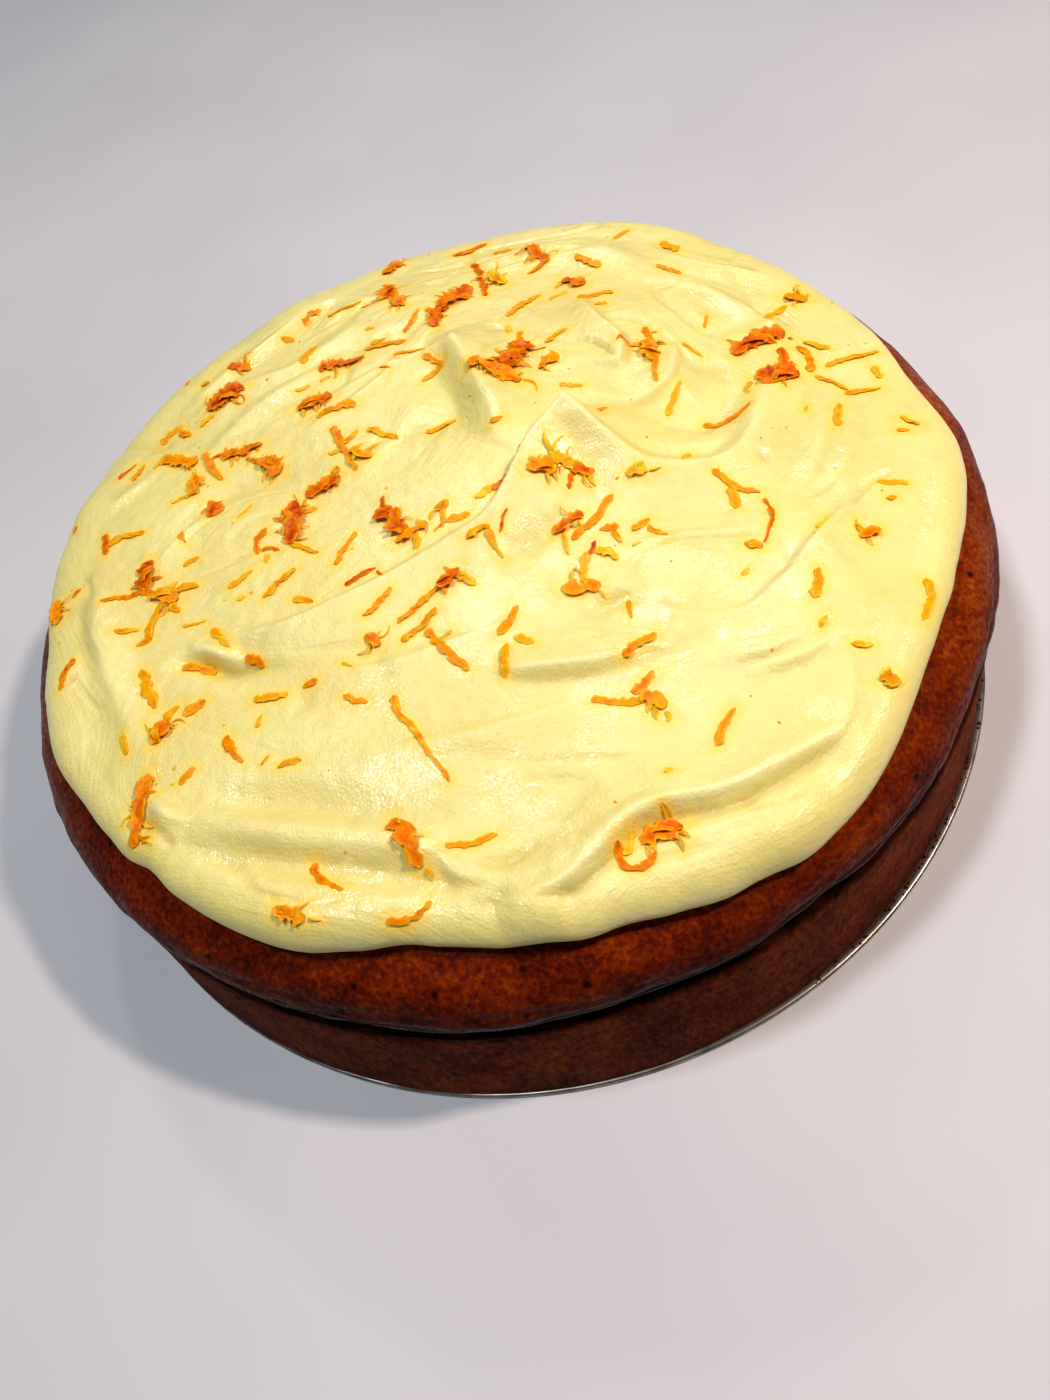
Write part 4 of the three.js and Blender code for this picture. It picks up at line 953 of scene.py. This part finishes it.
def make_tin(material):
    """The tin's loose base: a thin disc whose rolled edge stands a little above its upper side."""
    angle = 2 * np.pi * np.arange(TIN_AROUND) / TIN_AROUND
    half = TIN_THICKNESS / 2
    section = [(TIN_RADIUS - 3.0, 0), (TIN_RADIUS - 2.2, 0)]
    section += [(TIN_RADIUS - half + half * math.cos(t), half + half * math.sin(t))
                for t in np.linspace(-math.pi / 2, math.pi / 2, 9)]
    section += [(TIN_RADIUS - 1.5, TIN_THICKNESS - 0.15), (TIN_RADIUS - 1.9, TIN_THICKNESS - TIN_SUNK)]
    rings = [ring_points(r, angle, z) for r, z in section]
    piece = turned_piece("tin_base_disc", 0, rings, TIN_THICKNESS - TIN_SUNK, material)
    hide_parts("tin_base")
    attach(piece, "root")


# ---- Crumbs and flecks, strewn by geometry nodes --------------------------------------------------
def strewing_tree():
    """Geometry nodes that strew small lumps over the upward faces of a surface."""
    tree = bpy.data.node_groups.new("strewn_bits", "GeometryNodeTree")
    tree.interface.new_socket("Bits", in_out="OUTPUT", socket_type="NodeSocketGeometry")
    for name, kind in [
            ("Surface", "Geometry"), ("Per Square Metre", "Float"), ("Smallest", "Float"),
            ("Largest", "Float"), ("Flatness", "Float"), ("Seed", "Int"), ("Finish", "Material")]:
        tree.interface.new_socket(name, in_out="INPUT", socket_type="NodeSocket" + kind)
    given = add(tree, "NodeGroupInput").node.outputs
    facing = add(tree, "ShaderNodeSeparateXYZ", {0: add(tree, "GeometryNodeInputNormal")}, output="Z")
    upward = add(tree, "FunctionNodeCompare", {"A": facing, "B": 0.5}, operation="GREATER_THAN")
    spots = add(tree, "GeometryNodeDistributePointsOnFaces", {
        "Mesh": given["Surface"], "Selection": upward, "Density": given["Per Square Metre"],
        "Seed": given["Seed"]})
    size = add(tree, "FunctionNodeRandomValue", {
        2: given["Smallest"], 3: given["Largest"], "Seed": given["Seed"]}, output=1, data_type="FLOAT")
    stretch = add(tree, "FunctionNodeRandomValue", {2: 0.7, 3: 1.6, "Seed": 5}, output=1,
                  data_type="FLOAT")
    longer = add(tree, "ShaderNodeMath", {0: size, 1: stretch}, operation="MULTIPLY")
    flat = add(tree, "ShaderNodeMath", {0: size, 1: given["Flatness"]}, operation="MULTIPLY")
    spin = add(tree, "FunctionNodeRandomValue", {
        0: (-0.5, -0.5, 0), 1: (0.5, 0.5, 2 * math.pi), "Seed": 6}, data_type="FLOAT_VECTOR")
    turned = add(tree, "FunctionNodeRotateRotation", {0: spots.node.outputs["Rotation"], 1: spin},
                 rotation_space="LOCAL")
    ball = add(tree, "GeometryNodeMeshUVSphere", {"Segments": 7, "Rings": 4, "Radius": 0.5})
    toned = add(tree, "GeometryNodeStoreNamedAttribute", {
        "Geometry": ball, "Name": "tone", "Value": 0.8})
    lump = add(tree, "GeometryNodeSetShadeSmooth", {0: toned})
    scale = add(tree, "ShaderNodeCombineXYZ", {0: size, 1: longer, 2: flat})
    placed = add(tree, "GeometryNodeInstanceOnPoints", {
        "Points": spots, "Instance": lump, "Rotation": turned, "Scale": scale})
    bits = add(tree, "GeometryNodeSetMaterial", {
        "Geometry": add(tree, "GeometryNodeRealizeInstances", {0: placed}), "Material": given["Finish"]})
    add(tree, "NodeGroupOutput", {0: bits})
    return tree


def strew(name, mesh, tree, sizes):
    """A plain mesh of the bits that the tree strews over a mesh."""
    carrier = bpy.data.objects.new(name + "_carrier", mesh)
    bpy.context.scene.collection.objects.link(carrier)
    strewing = carrier.modifiers.new("strewing", "NODES")
    strewing.node_group = tree
    for socket in tree.interface.items_tree:
        if socket.name in sizes:
            strewing[socket.identifier] = sizes[socket.name]
    bpy.context.view_layer.update()
    settled = carrier.evaluated_get(bpy.context.evaluated_depsgraph_get())
    piece = bpy.data.objects.new(name, bpy.data.meshes.new_from_object(settled))
    carrier.modifiers.remove(strewing)
    bpy.data.objects.remove(carrier)
    bpy.context.scene.collection.objects.link(piece)
    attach(piece, "root")


CRUMB_DIRECTIONS = (-74, 30)  # in degrees, where the crumbs lie at the cake's foot
CRUMB_BAND = (113.0, 114.5)
CRUMB_BAND_STEPS = 90


def crumb_band():
    """The part of the base's rim where crumbs have fallen."""
    steps = CRUMB_BAND_STEPS
    angle = np.radians(np.linspace(*CRUMB_DIRECTIONS, steps))
    rows = [ring_points(r, angle, TIN_THICKNESS + 0.1) for r in CRUMB_BAND]
    faces = [(i, steps + i, steps + i + 1, i + 1) for i in range(steps - 1)]
    mesh = bpy.data.meshes.new("crumb_band")
    mesh.from_pydata((np.vstack(rows) * MM).tolist(), [], faces)
    return mesh


# ---- Materials -----------------------------------------------------------------------------------
def frosting_material():
    """Cream cheese frosting, whipped and spread with a knife: butter-yellow cream, slightly translucent
    and faintly grainy, with the knife's finest lines, wet patches, and juice stains by the zest."""
    made, tree = new_material("cream_cheese_frosting")
    place = add(tree, "ShaderNodeTexCoord", output="Object")
    hollow = add(tree, "ShaderNodeAttribute", output="Fac", attribute_name="hollow")
    stain = add(tree, "ShaderNodeAttribute", output="Fac", attribute_name="stain")
    wet = add(tree, "ShaderNodeAttribute", output="Fac", attribute_name="wet")
    across = add(tree, "ShaderNodeAttribute", output="Fac", attribute_name="across")
    cloud = add(tree, "ShaderNodeTexNoise", {"Vector": place, "Scale": per_mm(30), "Detail": 4.0})
    cream = add(tree, "ShaderNodeValToRGB", {"Fac": cloud},
                stops=[(0.3, "#E3D67C"), (0.5, "#E7DB84"), (0.7, "#ECE292")])
    # painted shade makes the hollows a deeper yellow, painted light makes the crests paler, and the
    # zest's juice stains the cream
    shade = add(tree, "ShaderNodeMapRange", {
        "Value": hollow, "From Min": 0.5, "From Max": 1.0, "To Max": 0.9})
    painted_crest_light = add(tree, "ShaderNodeMapRange", {
        "Value": hollow, "From Min": 0.5, "From Max": 0.0, "To Max": 0.5})
    juice = add(tree, "ShaderNodeMath", {0: stain, 1: 0.6}, operation="MULTIPLY")
    tint = cream
    for amount, code in [(shade, "#CBB962"), (painted_crest_light, "#F7EEB2"), (juice, "#F8D138")]:
        tint = add(tree, "ShaderNodeMix", {0: amount, 6: tint, 7: colour(code)}, output=2,
                   data_type="RGBA")

    moist = add(tree, "ShaderNodeTexNoise", {"Vector": place, "Scale": per_mm(14), "Detail": 3.0})
    damp = add(tree, "ShaderNodeMapRange", {
        "Value": moist, "From Min": 0.46, "From Max": 0.62, "To Max": 0.7})
    gloss = add(tree, "ShaderNodeMath", {0: wet, 1: damp}, operation="MAXIMUM")
    # the knife's finest lines: a noise that is short across the strokes and 20 mm long along them
    sideways = add(tree, "ShaderNodeMath", {0: across, 1: 1.3}, operation="MULTIPLY")
    lengthways = add(tree, "ShaderNodeVectorMath", {0: place, "Scale": per_mm(20)}, operation="SCALE")
    x = add(tree, "ShaderNodeSeparateXYZ", {0: lengthways}, output="X")
    y = add(tree, "ShaderNodeSeparateXYZ", {0: lengthways}, output="Y")
    drag = add(tree, "ShaderNodeCombineXYZ", {0: sideways, 1: x, 2: y})
    lines = add(tree, "ShaderNodeTexNoise", {"Vector": drag, "Scale": 1.0, "Detail": 4.0})
    lumps = add(tree, "ShaderNodeTexNoise", {
        "Vector": place, "Scale": per_mm(2.4), "Detail": 4.0, "Roughness": 0.6})
    grain = add(tree, "ShaderNodeTexNoise", {"Vector": place, "Scale": per_mm(0.6), "Detail": 2.0})
    dragged = add(tree, "ShaderNodeBump", {"Height": lines, "Distance": 0.35 * MM, "Strength": 0.55})
    lumpy = add(tree, "ShaderNodeBump", {
        "Height": lumps, "Distance": 0.45 * MM, "Strength": 0.6, "Normal": dragged})
    normal = add(tree, "ShaderNodeBump", {
        "Height": grain, "Distance": 0.15 * MM, "Strength": 0.5, "Normal": lumpy})
    # the wet film glints on the grain under it
    glints = add(tree, "ShaderNodeBump", {
        "Height": grain, "Distance": 0.16 * MM, "Strength": 1.0, "Normal": dragged})
    shader = add(tree, "ShaderNodeBsdfPrincipled", {
        "Base Color": tint, "Roughness": 0.45, "Subsurface Weight": 0.15,
        "Subsurface Radius": (1.0, 0.72, 0.3), "Subsurface Scale": 1.2 * MM, "Normal": normal,
        "Coat Weight": gloss, "Coat Roughness": 0.1, "Coat IOR": 1.5, "Coat Normal": glints})
    add(tree, "ShaderNodeOutputMaterial", {"Surface": shader})
    return made


def zest_material():
    """Fresh orange zest, torn off by a fine grater: oily and full of pores, deep orange where it is
    crumpled and golden where it is thin, with painted light on its raised folds and painted shade in
    their dips."""
    made, tree = new_material("orange_zest_peel")
    place = add(tree, "ShaderNodeTexCoord", output="Object")
    tone = add(tree, "ShaderNodeAttribute", output="Fac", attribute_name="tone")
    pores = add(tree, "ShaderNodeTexNoise", {"Vector": place, "Scale": per_mm(0.7), "Detail": 3.0})
    patch = add(tree, "ShaderNodeMath", {0: pores, 1: 0.4, 2: tone}, operation="MULTIPLY_ADD")
    level = add(tree, "ShaderNodeMath", {0: patch, 1: 0.2}, operation="SUBTRACT")
    tint = add(tree, "ShaderNodeValToRGB", {"Fac": level}, stops=[
        (0.0, "#A63A00"), (0.15, "#CC5200"), (0.35, "#E47600"), (0.55, "#F09200"), (0.8, "#F5AA08"),
        (1.0, "#F6C424")])
    normal = add(tree, "ShaderNodeBump", {"Height": pores, "Distance": 0.25 * MM, "Strength": 0.6})
    shader = add(tree, "ShaderNodeBsdfPrincipled", {
        "Base Color": tint, "Roughness": 0.3, "Specular IOR Level": 0.07, "Subsurface Weight": 0.35,
        "Subsurface Radius": (1.0, 0.4, 0.05), "Subsurface Scale": 1.0 * MM, "Normal": normal})
    add(tree, "ShaderNodeOutputMaterial", {"Surface": shader})
    return made


def crust_material(name, browning, stretch, roughness, specular):
    """Baked crust: blotches of 13 mm with a grain of about 1 mm, lighter on the right as painted light,
    nearly black in the waist as painted shade, with small pits painted dark as shade. The grain is
    stretched upright on the moulded wall."""
    made, tree = new_material(name)
    place = add(tree, "ShaderNodeTexCoord", output="Object")
    x = add(tree, "ShaderNodeSeparateXYZ", {0: place}, output="X")
    z = add(tree, "ShaderNodeSeparateXYZ", {0: place}, output="Z")
    # painted light: the crust is made lighter towards the right
    painted_light_rightward = add(tree, "ShaderNodeMapRange", {"Value": x, "From Max": TIN_RADIUS * MM, "To Max": 0.1})
    blotches = add(tree, "ShaderNodeTexNoise", {"Vector": place, "Scale": per_mm(13), "Detail": 5.0,
                                                "Roughness": 0.68})
    faint = add(tree, "ShaderNodeMath", {0: blotches, 1: 0.6, 2: 0.2}, operation="MULTIPLY_ADD")
    base = add(tree, "ShaderNodeMath", {0: faint, 1: painted_light_rightward}, operation="ADD")
    drawn_out = add(tree, "ShaderNodeMapping", {"Vector": place, "Scale": (1, 1, stretch)})
    grain = add(tree, "ShaderNodeTexNoise", {"Vector": drawn_out, "Scale": per_mm(1.1), "Detail": 3.0,
                                             "Roughness": 0.6})
    centred = add(tree, "ShaderNodeMath", {0: grain, 1: 0.5}, operation="SUBTRACT")
    level = add(tree, "ShaderNodeMath", {0: centred, 1: 0.6, 2: base}, operation="MULTIPLY_ADD")
    crust = add(tree, "ShaderNodeValToRGB", {"Fac": level}, stops=browning)
    above = add(tree, "ShaderNodeMath", {0: z, 1: GROOVE_HEIGHT * MM}, operation="SUBTRACT")
    away = add(tree, "ShaderNodeMath", {0: above}, operation="ABSOLUTE")
    level_folds = add(tree, "ShaderNodeMapping", {"Vector": place, "Scale": (0.3, 0.3, 1.5)})
    folds = add(tree, "ShaderNodeTexNoise", {"Vector": level_folds, "Scale": per_mm(2.2), "Detail": 3.0})
    # painted shade deepens down the shoulder into the waist, nearly black there, and stops soon below it
    down = add(tree, "ShaderNodeMapRange", {"Value": above, "From Min": 2 * MM, "From Max": 12 * MM,
                                            "To Min": 0.95, "To Max": 0.0})
    below = add(tree, "ShaderNodeMapRange", {"Value": above, "From Min": -4 * MM, "From Max": -1.5 * MM,
                                             "To Min": 0.0, "To Max": 0.95})
    deep = add(tree, "ShaderNodeMath", {0: down, 1: below}, operation="MINIMUM")
    uneven = add(tree, "ShaderNodeMath", {0: folds, 1: 0.5}, operation="ADD")
    waist = add(tree, "ShaderNodeMath", {0: deep, 1: uneven}, operation="MULTIPLY", use_clamp=True)
    painted_waist_shade = add(tree, "ShaderNodeMix", {0: waist, 6: crust, 7: colour("#0A0100")}, output=2,
                data_type="RGBA")
    # small pits painted dark, as painted shade in them
    cells = add(tree, "ShaderNodeTexVoronoi", {"Vector": place, "Scale": per_mm(7)})
    painted_pit_shade = add(tree, "ShaderNodeMapRange", {"Value": cells, "From Min": 0.07, "From Max": 0.14,
                                            "To Min": 0.9, "To Max": 0.0})
    tint = add(tree, "ShaderNodeMix", {0: painted_pit_shade, 6: painted_waist_shade, 7: colour("#0C0200")}, output=2,
               data_type="RGBA")
    dryness = add(tree, "ShaderNodeMapRange", {"Value": grain, "From Min": 0.35, "From Max": 0.65,
                                               "To Min": roughness[0], "To Max": roughness[1]})
    folded = add(tree, "ShaderNodeMapRange", {"Value": away, "From Min": 3 * MM, "From Max": 9 * MM,
                                              "To Min": 1.0, "To Max": 0.2})
    wrinkled = add(tree, "ShaderNodeBump", {"Height": folds, "Distance": 1.2 * MM, "Strength": folded})
    normal = add(tree, "ShaderNodeBump", {"Height": grain, "Distance": 0.35 * MM, "Strength": 0.6,
                                          "Normal": wrinkled})
    shader = add(tree, "ShaderNodeBsdfPrincipled", {
        "Base Color": tint, "Roughness": dryness, "Specular IOR Level": specular, "Normal": normal})
    add(tree, "ShaderNodeOutputMaterial", {"Surface": shader})
    return made


def tin_material():
    """Thin tinned steel, rolled round its edge and dulled in patches by baking."""
    made, tree = new_material("tinned_steel")
    place = add(tree, "ShaderNodeTexCoord", output="Object")
    dull = add(tree, "ShaderNodeTexNoise", {"Vector": place, "Scale": per_mm(6), "Detail": 4.0})
    tint = add(tree, "ShaderNodeValToRGB", {"Fac": dull}, stops=[(0.35, "#6B645A"), (0.62, "#A7A196")])
    roughness = add(tree, "ShaderNodeMapRange", {"Value": dull, "To Min": 0.42, "To Max": 0.25})
    shader = add(tree, "ShaderNodeBsdfPrincipled", {
        "Base Color": tint, "Metallic": 1.0, "Roughness": roughness})
    add(tree, "ShaderNodeOutputMaterial", {"Surface": shader})
    return made


def floor_material():
    """Plain pale floor."""
    made, tree = new_material("pale_floor")
    place = add(tree, "ShaderNodeTexCoord", output="Object")
    cloud = add(tree, "ShaderNodeTexNoise", {"Vector": place, "Scale": per_mm(120), "Detail": 2.0})
    tint = add(tree, "ShaderNodeValToRGB", {"Fac": cloud}, stops=[(0.3, "#C5C4C8"), (0.7, "#CFCED1")])
    shader = add(tree, "ShaderNodeBsdfPrincipled", {"Base Color": tint, "Roughness": 0.6})
    add(tree, "ShaderNodeOutputMaterial", {"Surface": shader})
    return made


# ---- Floor, light and camera ---------------------------------------------------------------------
FLOOR_HALF = 3000


def make_floor():
    corners = [(x * FLOOR_HALF, y * FLOOR_HALF, 0) for x, y in [(-1, -1), (1, -1), (1, 1), (-1, 1)]]
    floor = mesh_piece("floor", corners, [(0, 1, 2, 3)], floor_material(), smooth=False)


def make_light(name, place, size, watts, tint):
    """A soft square light that faces the cake."""
    data = bpy.data.lights.new(name, "AREA")
    data.size = size * MM
    data.energy = watts
    data.color = colour(tint)[:3]
    light = bpy.data.objects.new(name, data)
    light.location = Vector(place) * MM
    light.rotation_euler = (-Vector(place)).to_track_quat("-Z", "Y").to_euler()
    bpy.context.scene.collection.objects.link(light)
    return light


def make_camera():
    elevation, roll = math.radians(CAMERA_ELEVATION), math.radians(CAMERA_ROLL)
    forward = Vector((0, math.cos(elevation), -math.sin(elevation)))
    level = Vector((1, 0, 0))
    upward = Vector((0, math.sin(elevation), math.cos(elevation)))
    right = level * math.cos(roll) + upward * math.sin(roll)
    up = upward * math.cos(roll) - level * math.sin(roll)
    place = -(right * CAMERA_OFFSET[0] + up * CAMERA_OFFSET[1] + forward * CAMERA_DISTANCE) * MM
    data = bpy.data.cameras.new("camera")
    data.sensor_width = CAMERA_SENSOR
    data.lens = CAMERA_LENS
    data.clip_start = 0.01
    camera = bpy.data.objects.new("camera", data)
    camera.matrix_world = Matrix((right, up, -forward)).transposed().to_4x4()
    camera.location = place
    bpy.context.scene.collection.objects.link(camera)
    bpy.context.scene.camera = camera


def make_world():
    world = bpy.data.worlds.new("studio")
    bpy.context.scene.world = world
    world.use_nodes = True
    back = world.node_tree.nodes["Background"]
    back.inputs["Color"].default_value = colour("#DDE6F5")
    back.inputs["Strength"].default_value = 0.11


cream_finish = frosting_material()
zest_finish = zest_material()
shoulder_finish = crust_material("browned_crust", [
    (0.32, "#2A0500"), (0.45, "#521200"), (0.57, "#732400"), (0.69, "#8E3C04"), (0.84, "#A85E16")],
    1.0, (0.5, 0.3), 0.05)
wall_finish = crust_material("moulded_crust", [
    (0.34, "#300B02"), (0.48, "#511A04"), (0.62, "#6C2D0B"), (0.8, "#864719")],
    0.45, (0.9, 0.8), 0.03)

zest_strands = all_strands()
frosting = make_frosting(cream_finish, zest_strands)
make_zest(zest_strands, zest_finish)
make_sponge(shoulder_finish, wall_finish)
make_tin(tin_material())
bits = strewing_tree()
strew("foot_crumbs", crumb_band(), bits, {
    "Per Square Metre": 400000.0, "Smallest": 0.3 * MM, "Largest": 0.9 * MM, "Flatness": 0.8, "Seed": 3,
    "Finish": wall_finish})
strew("zest_flecks", frosting.data.copy(), bits, {
    "Per Square Metre": 2200.0, "Smallest": 0.4 * MM, "Largest": 0.8 * MM, "Flatness": 0.5, "Seed": 8,
    "Finish": zest_finish})

make_floor()
make_light("right_front_key", (340, -125, 555), 42, 3.2, "#FFE8DA")
make_light("overhead", (-400, 60, 1500), 190, 11.5, "#F2F7FF")
make_light("back_gloss", (-20, 600, 650), 60, 0.9, "#FFF8EE")
lamp = make_light("lamp_for_glints", (110, 400, 650), 60, 2.0, "#FFFFFF")
lamp.visible_diffuse = False  # it shows only as gleams on what is wet
make_camera()
make_world()
bpy.context.scene.view_settings.view_transform = "Standard"
